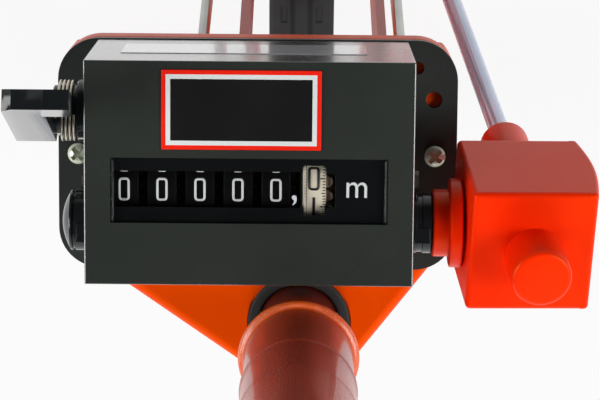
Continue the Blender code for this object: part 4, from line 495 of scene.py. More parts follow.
# The rod's pale blue-white, with little metal in it, is painted reflection of the bright surroundings.
dark_chrome = grained_finish(
    "dark_chrome", (204, 214, 240), (214, 224, 250), 0.16, 200, 0.000002, metallic=0.2
)
spring_steel = grained_finish(
    "spring_steel", (196, 186, 168), (216, 208, 192), 0.22, 900, 0.00001, metallic=0.8
)
brass = grained_finish("brass", (190, 150, 78), (206, 168, 92), 0.3, 700, 0.00002, metallic=1.0)
cast_metal = grained_finish(
    "cast_metal", (150, 152, 156), (172, 174, 178), 0.42, 900, 0.00006, metallic=1.0
)
rubber = grained_finish("rubber", (30, 30, 30), (40, 40, 39), 0.72, 1600, 0.00012)
tyre_rubber = grained_finish("tyre_rubber", (26, 26, 26), (38, 38, 37), 0.8, 900, 0.0001)
tube_black = grained_finish("tube_black", (26, 27, 27), (34, 35, 35), 0.3, 900, 0.00003, coat=0.2)
# The lower tube is orange; its dark red is painted shade.
tube_red_painted_shade = grained_finish("tube_red_painted_shade", (92, 26, 10), (108, 32, 14), 0.32, 700, 0.00003, coat=0.3)


# %% The leather grain of the sleeve and the clear pane
LEATHER_CELL = 0.0007


def leather_finish(name, dark, light, height):
    material, nodes, links, shader, place = start_finish(name, 0.3, coat=0.4, specular=1.0)
    drift(nodes, links, place, shader, dark, light, 40)
    cells = add_node(nodes, "TexVoronoi", Randomness=1)
    cells.feature = "DISTANCE_TO_EDGE"
    cells.inputs["Scale"].default_value = 1 / LEATHER_CELL
    links.new(place.outputs["Object"], cells.inputs["Vector"])
    dome = add_node(nodes, "MapRange", From_Max=0.22)
    dome.interpolation_type = "SMOOTHSTEP"
    links.new(cells.outputs["Distance"], dome.inputs["Value"])
    bump = add_node(nodes, "Bump", Strength=0.9, Distance=height)
    links.new(dome.outputs["Result"], bump.inputs["Height"])
    links.new(bump.outputs["Normal"], shader.inputs["Normal"])
    return material


# Skin and bead are one orange plastic: the skin's darker red orange is painted shade, the bead's brighter orange
# painted light.
sleeve_leather_painted_shade = leather_finish("sleeve_leather_painted_shade", (178, 46, 2), (192, 54, 4), 0.00012)
rim_leather_painted_light = leather_finish("rim_leather_painted_light", (240, 92, 4), (248, 102, 8), 0.00008)


def clear_finish(name, alpha, dark, light):
    material, nodes, links, shader, place = start_finish(name, 0.06)
    shader.inputs["Alpha"].default_value = alpha
    drift(nodes, links, place, shader, dark, light, 20)
    return material


pane = clear_finish("pane", 0.04, (8, 9, 11), (12, 13, 15))
# The pale grey of the pane's two ends is a painted highlight.
pane_edge_painted_highlight = clear_finish("pane_edge_painted_highlight", 0.1, (120, 126, 128), (150, 156, 158))
print("Metals, rubber, leather grain and the pane are ready")


# %% Give a piece its finish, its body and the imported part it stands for
bodies = frame["record"]["behaviour"]["bodies"]
body_of = {node: body for body, members in bodies.items() for node in members}
finished = []
stood_for = set()


def dressed(piece, name, material, matrix):
    """Place a piece and coat it, unless it stands in its place or has its finishes already."""
    if matrix is not None:
        put(piece, matrix)
    piece.name = name
    if material is not None:
        piece.data.materials.clear()
        piece.data.materials.append(material)
    finished.append(piece)


def finish(piece, name, material, node, matrix):
    """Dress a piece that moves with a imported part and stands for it."""
    dressed(piece, name, material, matrix)
    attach(piece, body_of[node])
    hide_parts(node)
    stood_for.add(node)


def add_on(piece, name, material, node, matrix):
    """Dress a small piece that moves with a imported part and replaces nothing."""
    dressed(piece, name, material, matrix)
    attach(piece, body_of[node])
    return piece


def painted(piece, materials, rule):
    """Give a piece several finishes. The rule says which of them a face takes."""
    piece.data.materials.clear()
    for material in materials:
        piece.data.materials.append(material)
    for face in piece.data.polygons:
        face.material_index = rule(face)
    return piece


# %% [markdown]
# ## The counter's cover
# The real cover is folded from 1.5 mm sheet: five sides, open at the back. It could be a shell made
# with Solidify, but the window and shaft holes have to be clean, so it is a block that is hollowed
# and cut with exact Booleans, and its folds are rounded by a small bevel.

# %% Model the cover
SHEET = 0.0015
half_width, half_height, depth = 0.047, 0.03225, 0.054
cover = block("cover", (-half_width, -half_height, -depth), (half_width, half_height, 0))
hollow_low = (SHEET - half_width, SHEET - half_height, -depth - 0.004)
hollow_high = (half_width - SHEET, half_height - SHEET, -SHEET)
cut(cover, block("hollow", hollow_low, hollow_high))
round_edges(cover, 0.0004, 3)
cut(cover, block("window", (-0.0395, -0.0143, -0.006), (0.0395, 0.0045, 0.004)))
for x, y, z in ((0.0463, INPUT_Y, INPUT_Z), (-0.0463, RESET_Y, RESET_Z)):
    drill = rod_along_x("drill", 0.003, x - 0.004, x + 0.004)
    cut(cover, put(drill, shift(0, y, z)))
smooth(cover)
finish(cover, "cover_folded", powder_coat, "counter_cover", FACE)
print("The cover has", len(cover.data.polygons), "faces")

# %% A white strip on the cover's top
strip = block("strip", (-0.0377, 0.0322, -0.041), (0.0336, 0.03245, -0.018))
round_edges(strip, 0.00008, 1)
add_on(smooth(strip), "white_strip", strip_white, "counter_cover", FACE)

# %% [markdown]
# ## The printed plate and the window
# The plate is one thin block whose top face is inset twice, so that three rings of faces can carry
# three inks: red, white and black. Its lettering is left out, the field stays plain. The pane sits
# in the window with a small chamfer; its two ends take a pale grey, which is a painted highlight.

# %% Model the printed plate
plate_x, plate_y = -0.0023, 0.0184
half_x, half_y = 0.02265, 0.01135
plate_low = (plate_x - half_x, plate_y - half_y, 0.00015)
plate_high = (plate_x + half_x, plate_y + half_y, 0.00055)
plate = round_edges(block("plate", plate_low, plate_high), 0.00015, 2)
top = max(plate.data.polygons, key=lambda face: (round(face.center.z, 6), face.area)).index
pick(plate, "FACE", lambda face: face.index == top)
bpy.ops.mesh.inset(thickness=0.0011)
bpy.ops.mesh.inset(thickness=0.0013)
bpy.ops.mesh.inset(thickness=0.00025, depth=0.00004)
done()


def plate_ink(face):
    """By the distance from the plate's edge: red, white, then black. The sides are red."""
    away_x = half_x - abs(face.center.x - plate_x)
    away_y = half_y - abs(face.center.y - plate_y)
    edge = min(away_x, away_y)
    flat = face.normal.z > 0.5
    return 2 if flat and edge > 0.00245 else 1 if flat and edge > 0.0012 else 0


painted(plate, (ink_red, ink_white, ink_black), plate_ink)
finish(smooth(plate), "printed_plate", None, "label_plate", FACE)
print("The plate has", len(plate.data.polygons), "faces in three inks")

# %% Model the pane
lens = block("lens", (-0.0392, -0.0140, -0.0016), (0.0392, 0.0042, -0.0004))
pick(lens, "FACE", lambda face: face.normal.z > 0.9)
bpy.ops.mesh.inset(thickness=0.0007)
bpy.ops.transform.translate(value=(0, 0, 0.0003))
done()
# Faces turned to the sides, the pane's two ends, take the painted highlight.
painted(lens, (pane, pane_edge_painted_highlight), lambda face: 1 if abs(face.normal.x) > 0.2 else 0)
finish(lens, "clear_window", None, "window_lens", FACE)
print("The pane is", [round(value, 4) for value in lens.dimensions], "m")

# %% [markdown]
# ## The black mask behind the pane
# A thin black sheet hides the works and leaves only the digits in sight. It is a flat block with
# three openings: a low one for the five black drums, a taller one with round corners for the cream
# drum, and a small one for the brown lobes beside it. The cutters are outlines extruded through the
# sheet.

# %% Model the mask
mask = block("mask", (-0.0415, -0.0163, -0.0029), (0.0415, 0.0065, -0.0021))
openings = (
    (-0.0412, 0.0147, -0.0100, 0.0004, 0.0004, 3),
    (0.0151, 0.0219, -0.01216, 0.00224, 0.0009, 6),
    (0.0200, 0.0245, -0.0098, 0.0000, 0.0009, 6),
)
for opening in openings:
    cut(mask, drawn("opening", rounded(*opening), -0.01, 0.01))
round_edges(mask, 0.0001, 1, 50)
finish(smooth(mask), "window_mask", window_black, "window_panel", FACE)
print("The mask is 0.8 mm thick and has", len(mask.data.polygons), "faces")

# %% [markdown]
# ## Digits drawn as strokes
# The drums carry narrow square digits, nothing like a font's. Each digit is a path in a unit box,
# bent round the drum and made a thin raised stroke with a curve's bevel. The ten digits are drawn
# once, on the first drum, and the other drums are copies.

# %% Paths of the ten digits in a box of width 1 and height 1
digit_paths = [
    [
        (0.22, 0), (0.78, 0), (0.93, 0.04), (1, 0.12), (1, 0.88), (0.93, 0.96), (0.78, 1), (0.22, 1),
        (0.07, 0.96), (0, 0.88), (0, 0.12), (0.07, 0.04), (0.22, 0),
    ],
    [(0.5, 0), (0.5, 1)],
    [(0, 0.8), (0, 0.9), (0.2, 1), (0.8, 1), (1, 0.9), (1, 0.62), (0, 0.1), (0, 0), (1, 0)],
    [
        (0, 0.88), (0.2, 1), (0.8, 1), (1, 0.88), (1, 0.62), (0.72, 0.52), (1, 0.42), (1, 0.12),
        (0.8, 0), (0.2, 0), (0, 0.12),
    ],
    [(0.72, 0), (0.72, 1), (0, 0.3), (1, 0.3)],
    [(1, 1), (0.05, 1), (0, 0.55), (0.8, 0.6), (1, 0.48), (1, 0.12), (0.8, 0), (0.2, 0), (0, 0.12)],
    [
        (0.95, 0.92), (0.8, 1), (0.2, 1), (0, 0.88), (0, 0.12), (0.2, 0), (0.8, 0), (1, 0.12),
        (1, 0.45), (0.8, 0.56), (0.2, 0.56), (0, 0.45),
    ],
    [(0, 1), (1, 1), (0.35, 0)],
    [
        (0.2, 0.53), (0, 0.65), (0, 0.88), (0.2, 1), (0.8, 1), (1, 0.88), (1, 0.65), (0.8, 0.53),
        (0.2, 0.53), (0, 0.42), (0, 0.12), (0.2, 0), (0.8, 0), (1, 0.12), (1, 0.42), (0.8, 0.53),
    ],
    [
        (0.05, 0.08), (0.2, 0), (0.8, 0), (1, 0.12), (1, 0.88), (0.8, 1), (0.2, 1), (0, 0.88),
        (0, 0.55), (0.2, 0.44), (0.8, 0.44), (1, 0.55),
    ],
]
DRUM_RADIUS = 0.0135
DIGIT_WIDTH, DIGIT_HEIGHT, STROKE = 0.0026, 0.0061, 0.00036


def bent_path(path, angle, middle):
    """The path in metres, bent round a drum about X; its middle is turned up by the angle."""
    points = []
    for (x0, y0), (x1, y1) in zip(path, path[1:]):
        for step in range(4):
            share = step / 4
            points.append((x0 + (x1 - x0) * share, y0 + (y1 - y0) * share))
    points.append(path[-1])
    bent = []
    for x, y in points:
        up = math.radians(angle) + (y - 0.5) * DIGIT_HEIGHT / DRUM_RADIUS
        across = middle + (x - 0.5) * DIGIT_WIDTH
        bent.append((across, DRUM_RADIUS * math.sin(up), DRUM_RADIUS * math.cos(up)))
    return bent


def digit_ring(name, middle, first_angle):
    """Ten digits round a drum. The next digit stands below the one before."""
    strokes = []
    for value, path in enumerate(digit_paths):
        strokes.append(wire("stroke", bent_path(path, first_angle - 36 * value, middle), STROKE, 2))
    ring = joined(strokes)
    ring.name = name
    return ring


# %% A drum with its transfer teeth
def toothed_ring(name, teeth, root, tip, low, high):
    outline = []
    for tooth in range(teeth):
        for share, radius in ((-0.26, root), (-0.13, tip), (0.13, tip), (0.26, root)):
            angle = math.tau * (tooth + share) / teeth
            outline.append((radius * math.cos(angle), radius * math.sin(angle)))
    return along_x(drawn(name, outline, low, high))


def drum(name, middle, width):
    low = middle - width / 2
    high = middle + width / 2
    flat = DRUM_RADIUS - 0.0004
    profile = [(0.0023, low), (flat, low), (DRUM_RADIUS, low + 0.0004), (DRUM_RADIUS, high - 0.0004)]
    return along_x(turned(name, profile + [(flat, high), (0.0023, high)], 96, True))


# %% Model the first drum and copy it for the next four
FIRST_DRUM_X = -0.0358
DRUM_PITCH = 0.01085
first = drum("drum", FIRST_DRUM_X, 0.0083)
teeth = toothed_ring("teeth", 20, 0.0097, 0.01145, FIRST_DRUM_X + 0.0039, FIRST_DRUM_X + 0.00575)
cut(teeth, rod_along_x("bore", 0.0023, -0.06, 0.02))
digits = digit_ring("digits", FIRST_DRUM_X, -3.1)
first.data.materials.append(drum_black)
teeth.data.materials.append(drum_black)
digits.data.materials.append(ink_white)
first = smooth(joined([first, teeth, digits]), 40)
for index in range(5):
    wheel = first if index == 4 else copied(first, "drum_%d" % index)
    wheel_place = DIGITS @ shift(DRUM_PITCH * index, 0, 0)
    node = "digit_wheel_%d" % (index + 1)
    finish(wheel, "drum_%d" % (index + 1), None, node, wheel_place)
print("Five drums of", len(wheel.data.polygons), "faces each")

# %% [markdown]
# ## The cream drum
# The last drum counts tenths of a metre. It carries black digits and a fine scale at its right edge,
# with a long line for each digit, and brown lobes beside it, which a finger can turn. It stands a
# little past zero, so its one shows from below.

# %% Model the cream drum with its digits and its scale
PAST_ZERO = 11.6
cream_drum = drum("cream_drum", 0.0186, 0.0066)
cream_drum.data.materials.append(cream)
tenths = digit_ring("tenths", 0.01845, PAST_ZERO)
tenths.data.materials.append(ink_black)
marks_and_groove_shade = []
for step in range(100):
    reach = 0.0014 if step % 10 == 0 else 0.0011 if step % 5 == 0 else 0.0008
    thin = 0.0002 if step % 10 == 0 else 0.00014
    mark = block("mark", (0.0217 - reach, -thin, 0.01345), (0.0217, thin, 0.01354))
    marks_and_groove_shade.append(put(mark, turn(-PAST_ZERO - 3.6 * step, "X")))
# A thin black ring near the drum's left edge is painted shade of a groove; no groove is cut.
groove_painted_shade = block("groove_painted_shade", (0.0162, -0.0003, 0.01345), (0.01642, 0.0003, 0.01353))
for step in range(96):
    marks_and_groove_shade.append(put(copied(groove_painted_shade, "groove_shade_step"), turn(3.75 * step, "X")))
bpy.data.objects.remove(groove_painted_shade)
scale_and_groove_shade = joined(marks_and_groove_shade)
scale_and_groove_shade.data.materials.append(ink_black)
print("The scale has", len(marks_and_groove_shade), "marks_and_groove_shade")

# %% Add the brown lobes and the teeth that drive the drum
lobes = toothed_ring("lobes", 18, 0.0098, 0.0101, 0.0217, 0.0242)
half_disc = []
for step in range(17):
    angle = math.pi * step / 16
    half_disc.append((0.0216 + 0.0025 * math.sin(angle), 0.0018 * math.cos(angle)))
lobe = round_edges(drawn("lobe", half_disc, 0.0095, 0.0122), 0.0003, 3)
for step in range(18):
    weld(lobes, put(copied(lobe, "lobe_copy"), turn(20 * step - 8, "X")))
bpy.data.objects.remove(lobe)
lobes.data.materials.append(lobe_brown)
drive = toothed_ring("drive", 16, 0.0055, 0.0066, 0.0240, 0.0264)
drive.data.materials.append(lobe_brown)
last_drum = smooth(joined([cream_drum, tenths, scale_and_groove_shade, lobes, drive]), 40)
finish(last_drum, "drum_6", None, "digit_wheel_6", DIGITS)
print("The cream drum has", len(last_drum.data.polygons), "faces")


# %% [markdown]
# ## The comma and the m behind the pane
# Both are printed, so they are flat text made a mesh and given a hair's thickness.

# %% Print the comma and the unit
def printed(name, word, height, left, bottom, wide):
    bpy.ops.object.select_all(action="DESELECT")
    bpy.ops.object.text_add()
    text = bpy.context.object
    text.data.body = word
    text.data.extrude = 0.00002
    bpy.ops.object.convert(target="MESH")
    piece = outward(bpy.context.object)
    corners = [vertex.co.copy() for vertex in piece.data.vertices]
    low_x = min(corner.x for corner in corners)
    low_y = min(corner.y for corner in corners)
    span_x = max(corner.x for corner in corners) - low_x
    span_y = max(corner.y for corner in corners) - low_y
    sized = Matrix.Diagonal((wide / span_x, height / span_y, 1, 1))
    put(piece, shift(left, bottom, -0.0018) @ sized @ shift(-low_x, -low_y, 0))
    return add_on(piece, name, ink_white, "counter_cover", FACE)


unit = printed("unit_m", "m", 0.00445, 0.0277, -0.0068, 0.0059)
printed("comma", ",", 0.0029, 0.0122, -0.0091, 0.0014)
print("The unit is", round(unit.dimensions.x * 1000, 1), "mm wide")

# %% [markdown]
# ## Caps beside the counter
# Both shaft ends are closed by black snap-in caps. The left one is a low dome with a groove and a
# square snap tab, the right one a short drum with two ribs. They are turned shapes with a block
# welded on for the tab.

# %% Turn the left cap
CAP_RADIUS = 0.00885
DOME_RADIUS = 0.01605
inner_cap = CAP_RADIUS - 0.0005
dome = [(0, 0), (CAP_RADIUS - 0.0002, 0), (CAP_RADIUS, 0.0002), (CAP_RADIUS, 0.0034)]
dome += [(inner_cap, 0.0036), (inner_cap, 0.0040), (CAP_RADIUS, 0.0043), (CAP_RADIUS, 0.0046)]
dome += [(CAP_RADIUS - 0.0002, 0.0050)]
for degrees in (30, 26, 22, 18, 14, 10, 6, 3):
    rising = math.radians(degrees)
    dome.append((DOME_RADIUS * math.sin(rising), DOME_RADIUS * math.cos(rising) - 0.00865))
dome.append((0, 0.0074))
left_cap = along_x(turned("left_cap", [(radius, -0.0473 - height) for radius, height in dome], 72))
tab = round_edges(block("tab", (-0.0501, -0.0050, 0.0070), (-0.0475, 0.0006, 0.0092)), 0.0002, 2)
left_cap = smooth(weld(left_cap, tab))
finish(left_cap, "snap_cap_left", gloss_black, "bearing_cap_left", CAP)

# %% Turn the right cap
ring_profile = [(0.003, 0.0473), (0.0086, 0.0473), (CAP_RADIUS, 0.0475), (CAP_RADIUS, 0.0483)]
ring_profile += [(0.0085, 0.0485), (0.0085, 0.0500), (CAP_RADIUS, 0.0502), (CAP_RADIUS, 0.0525)]
ring_profile += [(0.0086, 0.0528), (0.003, 0.0528)]
right_cap = along_x(turned("right_cap", ring_profile, 72, True))
tab = round_edges(block("tab", (0.0478, -0.0046, 0.0074), (0.0522, 0.0, 0.0091)), 0.0002, 2)
right_cap = smooth(weld(right_cap, tab))
finish(right_cap, "snap_cap_right", gloss_black, "bearing_cap_right", CAP)
print("The caps are", round(2 * CAP_RADIUS * 1000, 1), "mm across")

# %% [markdown]
# ## The gearbox beside the counter
# The orange box is one moulding: a square body with a round boss in front and a long collar behind
# that holds the drive rod. It is a block with rounded edges, two turned shapes welded to it, and a
# hollow cut from its right side, which the bulged cover closes. Where the two meet, a seam as thin as
# a hair stays open and their edges stay sharp. A ring joins the gearbox to the counter.

# %% Model the gearbox body
BODY_END, COVER_START = 0.01557, 0.01559


def round_away_from(piece, seam_x, width):
    """Round all edges of a piece but those that lie in the seam, a plane across X."""
    sides = {}
    for face in piece.data.polygons:
        for key in face.edge_keys:
            sides.setdefault(key, []).append(face.normal.copy())

    def sharp_and_outside(line):
        first_side, second_side = sides[tuple(sorted(line.vertices))]
        start, end = (piece.data.vertices[index].co for index in line.vertices)
        in_seam = max(abs(start.x - seam_x), abs(end.x - seam_x)) < 0.00005
        return first_side.angle(second_side) > math.radians(50) and not in_seam

    pick(piece, "EDGE", sharp_and_outside)
    bpy.ops.mesh.bevel(offset=width, segments=5)
    done()


body = block("body", (-0.0179, -0.0195, -0.0206), (BODY_END, 0.0178, 0.017))
round_away_from(body, BODY_END, 0.0015)
boss = [(0, 0), (0.0086, 0), (0.0086, 0.0308), (0.0084, 0.0314), (0.0079, 0.0318), (0.0072, 0.032)]
weld(body, put(turned("boss", boss + [(0, 0.032)], 72), shift(0.0007, -0.0017, 0)))
cut(body, block("hollow", (-0.0157, -0.0173, -0.0184), (0.019, 0.0156, 0.0148)))
put(body, BOX)
collar_top = -0.0196
collar = [(0.0037, -0.0565), (0.0069, -0.0565), (0.0075, -0.0559), (0.0075, collar_top)]
weld(body, put(turned("collar", collar + [(0.0037, collar_top)], 64, True), ROD_HEAD))
cut(body, put(pin("drill", 0.0037, -0.06, -0.0178, 48), ROD_HEAD))
finish(smooth(body), "gearbox_moulding", bright_orange, "head_gearbox_body", None)
print("The gearbox body has", len(body.data.polygons), "faces")

# %% Model its bulged right cover
FLANK_X, BULGE = 0.0179, 0.0022
side = [(COVER_START, -0.017), (FLANK_X, -0.017)]
for step in range(1, 24):
    share = step / 24
    side.append((FLANK_X + BULGE * math.sin(math.pi * share), -0.017 + 0.0376 * share))
side += [(FLANK_X, 0.0206), (COVER_START, 0.0206)]
side_cover = drawn("side_cover", side, -0.0178, 0.0195)
put(side_cover, turn(90, "X") @ Matrix.Diagonal((1, -1, 1, 1)))
outward(side_cover)
round_away_from(side_cover, COVER_START, 0.0012)
smooth(side_cover)
finish(side_cover, "gearbox_side_cover", bright_orange, "head_gearbox_cover", BOX)
print("The side cover has", len(side_cover.data.polygons), "faces")
# %% Turn the ring between the gearbox and the counter
ring = [(0.003, 0.0386), (0.0094, 0.0386), (0.0098, 0.0390), (0.0098, 0.0431), (0.0122, 0.0434)]
ring += [(0.0128, 0.0436), (0.013, 0.0440), (0.013, 0.0466), (0.0126, 0.0470), (0.003, 0.0470)]
gear_ring = smooth(along_x(turned("gear_ring", ring, 96, True)))
finish(gear_ring, "joining_ring", bright_orange, "gearbox_ring", INPUT)

# %% Turn the drive rod
low, high = 0.00377, rod_span - 0.00467
rod = [(0, low), (0.0027, low), (0.0032, low + 0.0005)]
rod += [(0.0032, high - 0.0005), (0.0027, high), (0, high)]
drive_rod = smooth(turned("drive_rod_round", rod, 64))
# The rod's pale blue-white is painted reflection.
finish(drive_rod, "polished_rod", dark_chrome, "drive_rod", ROD)
print("The rod is", round(high - low, 3), "m long")

# %% [markdown]
# ## The reset lever and its spring
# A short arm on the left sets the counter back to zero. Its side view is a hull round the hub, the
# heel and the tip, so it is drawn as that outline and extruded, then the pad and the barrel are
# welded on and the tip's outer corner is sliced off, as on the real one. The faces of its underside
# take a black with a far stronger mirror than the rest, which is painted reflection.

# %% Outline round a set of points
def wrapped(points):
    """The outline that a string round the points would take."""
    ordered = sorted(set((round(x, 7), round(y, 7)) for x, y in points))

    def half(sequence):
        chain = []
        for point in sequence:
            while len(chain) > 1:
                ahead = (chain[-1][0] - chain[-2][0]) * (point[1] - chain[-2][1])
                aside = (chain[-1][1] - chain[-2][1]) * (point[0] - chain[-2][0])
                if ahead - aside > 0:
                    break
                chain.pop()
            chain.append(point)
        return chain[:-1]

    return half(ordered) + half(ordered[::-1])


SIDE = Matrix(((0, 0, 1, 0), (1, 0, 0, 0), (0, 1, 0, 0), (0, 0, 0, 1)))
LEVER_THICKNESS = 0.0058
lever_tilt = math.radians(20.4)
along = Vector((math.sin(lever_tilt), math.cos(lever_tilt)))
under = Vector((-math.cos(lever_tilt), math.sin(lever_tilt)))
tip_low = Vector((0.0062, 0.0446))
tip_high = tip_low - under * LEVER_THICKNESS
pad_low = tip_low - along * 0.0085
pad_high = pad_low - under * LEVER_THICKNESS

# %% Model the lever
hub_circle = arc((0, 0), 0.0056, 0, 350, 35)
lever_outline = wrapped(hub_circle + [(-0.0085, 0.0046), tuple(tip_low), tuple(tip_high)])
lever = put(drawn("lever", lever_outline, -0.0681, -0.0565), SIDE)
pad_outline = [tuple(place) for place in (tip_low, pad_low, pad_high, tip_high)]
weld(lever, put(drawn("pad", pad_outline, -0.0575, -0.0493), SIDE))
weld(lever, rod_along_x("barrel", 0.0074, -0.0575, -0.0477, 0.0003, 64))
weld(lever, rod_along_x("flange", 0.0090, -0.0505, -0.0477, 0.0004, 72))
tip = tip_low.dot(along)
corner = [(-0.0639, tip + 0.0012), (-0.0720, tip + 0.0050), (-0.0695, tip - 0.0036)]
TIP = Matrix(((1, 0, 0, 0), (0, along.x, -along.y, 0), (0, along.y, along.x, 0), (0, 0, 0, 1)))
cut(lever, put(drawn("slice_off", corner, -0.005, 0.02), TIP))
cut(lever, rod_along_x("bore", 0.0028, -0.0622, -0.04))
round_edges(lever, 0.0003, 3, 30)


# Faces turned down under the lever take the stronger mirror: painted reflection.
def lever_underside_painted_reflection(face):
    return 1 if face.normal.y * under.x + face.normal.z * under.y > 0.97 else 0


painted(smooth(lever), (gloss_black, black_with_painted_reflection), lever_underside_painted_reflection)
finish(lever, "zero_lever", None, "reset_lever", RESET)
print("The lever has", len(lever.data.polygons), "faces")

# %% Wind the spring
start_x = -0.0565 + 0.0003 + 0.00045
coil = [(start_x - 0.0014, -0.0030, 0.0088), (start_x - 0.0014, -0.0015, 0.0089)]
coil += [(start_x - 0.0011, -0.0010, 0.0089), (start_x - 0.0003, -0.0004, 0.0087)]
for step in range(4 * 32 + 1):
    angle = math.tau * step / 32
    coil.append((start_x + 0.00116 * step / 32, 0.0086 * math.sin(angle), 0.0086 * math.cos(angle)))
spring = wire("spring", coil, 0.00042, 3)
finish(spring, "return_spring", spring_steel, "reset_spring", RESET)
print("The spring has", len(spring.data.polygons), "faces")

# %% [markdown]
# ## The mounting plate and its screws
# A flat black plate carries the counter on the housing. It is an outline with round corners,
# extruded, drilled with spare holes that show the orange behind, and very slightly bevelled.

# %% Model the plate
PLATE_LEFT, PLATE_RIGHT, PLATE_TOP, PLATE_CORNER = -0.0593, 0.0622, 0.0326, 0.0125
plate_outline = rounded(PLATE_LEFT, PLATE_RIGHT, -0.0382, PLATE_TOP, PLATE_CORNER, 12)
base = drawn("base", plate_outline, -0.0573, -0.0543)
screw_places = ((-0.0532, -0.0028), (0.0555, -0.0028))
screw_holes = tuple((x, y, 0.002) for x, y in screw_places)
for x, y, radius in (*screw_holes, (0.0550, 0.0145, 0.0024), (0.0500, 0.0242, 0.0018)):
    cut(base, put(pin("hole", radius, -0.060, -0.052, 32), shift(x, y, 0)))
round_edges(base, 0.0003, 2, 40)
finish(smooth(base), "base_plate", plate_coat, "mounting_plate", FACE)
print("The mounting plate has", len(base.data.polygons), "faces")

# %% Turn one screw, cut its cross and copy it
head = [(0, -0.0521), (0.0009, -0.05212), (0.0018, -0.05228)]
head += [(0.0026, -0.0527), (0.0032, -0.0534), (0.0033, -0.0540)]
shank = [(0.0017, -0.0540)]
for step in range(9):
    z = -0.0550 - 0.001 * step
    shank += [(0.0017, z), (0.0014, z - 0.0003), (0.0017, z - 0.0006)]
screw = turned("screw", head + shank + [(0.0, -0.0640)], 40)
cut(screw, block("slot_a", (-0.0024, -0.00065, -0.0536), (0.0024, 0.00065, -0.050)))
cut(screw, block("slot_b", (-0.00065, -0.0024, -0.0536), (0.00065, 0.0024, -0.050)))
smooth(screw, 30)
second = copied(screw, "screw_two")
turned_screws = ((screw, "left", 40), (second, "right", 50))
for (x, y), (piece, side, degrees) in zip(screw_places, turned_screws):
    screw_place = FACE @ shift(x, y, 0) @ turn(degrees, "Z")
    finish(piece, "zinc_screw_" + side, bright_zinc, "plate_screw_" + side, screw_place)
print("The screws have", len(screw.data.polygons), "faces each")

# %% [markdown]
# ## The head housing
# The orange housing behind the plate tapers to a round nose about the pole. Its outline is the
# plate's outline and the nose wrapped together; the extruded solid gets a large soft edge and then
# the slots of the fork arms, the pockets and the bores of the pole and the bolts.

# %% Model the housing
def housing_outline(inset):
    left, right = PLATE_LEFT + inset, PLATE_RIGHT - inset
    low, high = -0.0346 + inset, PLATE_TOP - inset
    upper_points = rounded(left, right, low, high, PLATE_CORNER - inset, 12)[:26]
    lower_points = rounded(left, right, low, high, 0.0092 - inset, 10)[22:]
    nose = arc((MIDDLE_X, POLE_Y), 0.0208 - inset, 180, 360, 48)
    return wrapped(upper_points + lower_points + nose)


front, web, back, bottom = -0.0576, -0.0616, -0.0876, -0.092
slots = ((-0.0063, -0.0027), (0.0393, 0.0429))
housing = drawn("housing_shape", housing_outline(0), back, front)
round_edges(housing, 0.0032, 6, 50)
cut(housing, block("step_back", (-0.07, 0.0286, bottom), (0.07, 0.04, front - 0.011)))
for left, right in slots:
    cut(housing, block("arm_slot", (left, -0.0243, bottom), (right, 0.0185, web)))
for side, limit in ((-1, slots[0][0]), (1, slots[1][1])):
    pocket = drawn("pocket", housing_outline(0.003), bottom, web)
    cut(pocket, block("limit", (limit, -0.09, -0.1), (limit - side * 0.2, 0.09, -0.05)))
    cut(pocket, block("top_limit", (-0.09, 0.0256, -0.1), (0.09, 0.09, -0.05)))
    cut(housing, pocket)
put(housing, FACE)
for radius, low, high in ((0.0123, -0.0253, 0.004), (0.0143, -0.0103, 0.006), (0.0161, -0.002, 0.028)):
    cut(housing, put(pin("bore", radius, low, high, 72), POLE))
print("The housing has", len(housing.data.polygons), "faces")

# %% Drill the housing for its bolts and screws
BOLT_Z = -0.0746
BOLT_HOLE = 0.0033
pole_bolt_y = POLE_Y + 0.0178 * math.tan(math.radians(8))
pole_bolt_place = FACE @ shift(MIDDLE_X, pole_bolt_y, BOLT_Z)
for place, reach in ((FACE @ shift(MIDDLE_X, 0, BOLT_Z), 0.0286), (pole_bolt_place, 0.026)):
    drill = rod_along_x("drill", BOLT_HOLE, -reach, reach, 0.0001)
    cut(housing, put(drill, place))
for low, high in ((-0.026, -0.0152), (0.0152, 0.026)):
    seat = rod_along_x("seat", 0.0058, low, high, 0.0001, 48)
    cut(housing, put(seat, pole_bolt_place))
for x, y in screw_places:
    cut(housing, put(pin("hole", 0.002, -0.068, -0.05, 24), FACE @ shift(x, y, 0)))
finish(smooth(housing), "head_housing", housing_orange, "housing", None)
print("The drilled housing has", len(housing.data.polygons), "faces")

# %% [markdown]
# ## The pole with its bush and lock sleeve
# The pole is a round tube that leaves the housing through a black rubber bush. The tube is orange,
# but it takes a dark red, which is painted shade. The orange sleeve slides on it and locks the
# folding joint. All are turned shapes; the sleeve's rim is a half-round bead, as a mould leaves it,
# two low ridges run round it above, and its skin is grained like leather. Bead and skin are one
# orange plastic: the skin takes a darker red orange, which is painted shade, and the bead a brighter
# orange, which is painted light.

# %% Turn the bush and the tube
bush = [(0.0123, -0.010), (0.0140, -0.010), (0.0140, -0.0017), (0.0153, -0.0017), (0.0158, -0.0012)]
bush += [(0.0158, -0.0006), (0.0155, -0.0001), (0.0150, 0), (0.0131, 0), (0.0125, -0.0004)]
bush += [(0.0123, -0.0010)]
bush_ring = smooth(turned("bush", bush, 96, True), 50)
finish(bush_ring, "pole_bush_ring", rubber, "pole_bush", POLE)

TUBE_BORE, TUBE_RADIUS = 0.0105, 0.012
tube_top = FOLD_HEIGHT - 0.032 - 0.0003
tube = [(TUBE_BORE, -0.025), (TUBE_RADIUS, -0.025), (TUBE_RADIUS, tube_top), (TUBE_BORE, tube_top)]
pole_tube = turned("tube", tube, 96, True)
hole = rod_along_x("hole", BOLT_HOLE, -0.016, 0.016, 0.0001)
cut(pole_tube, put(hole, POLE.inverted() @ pole_bolt_place))
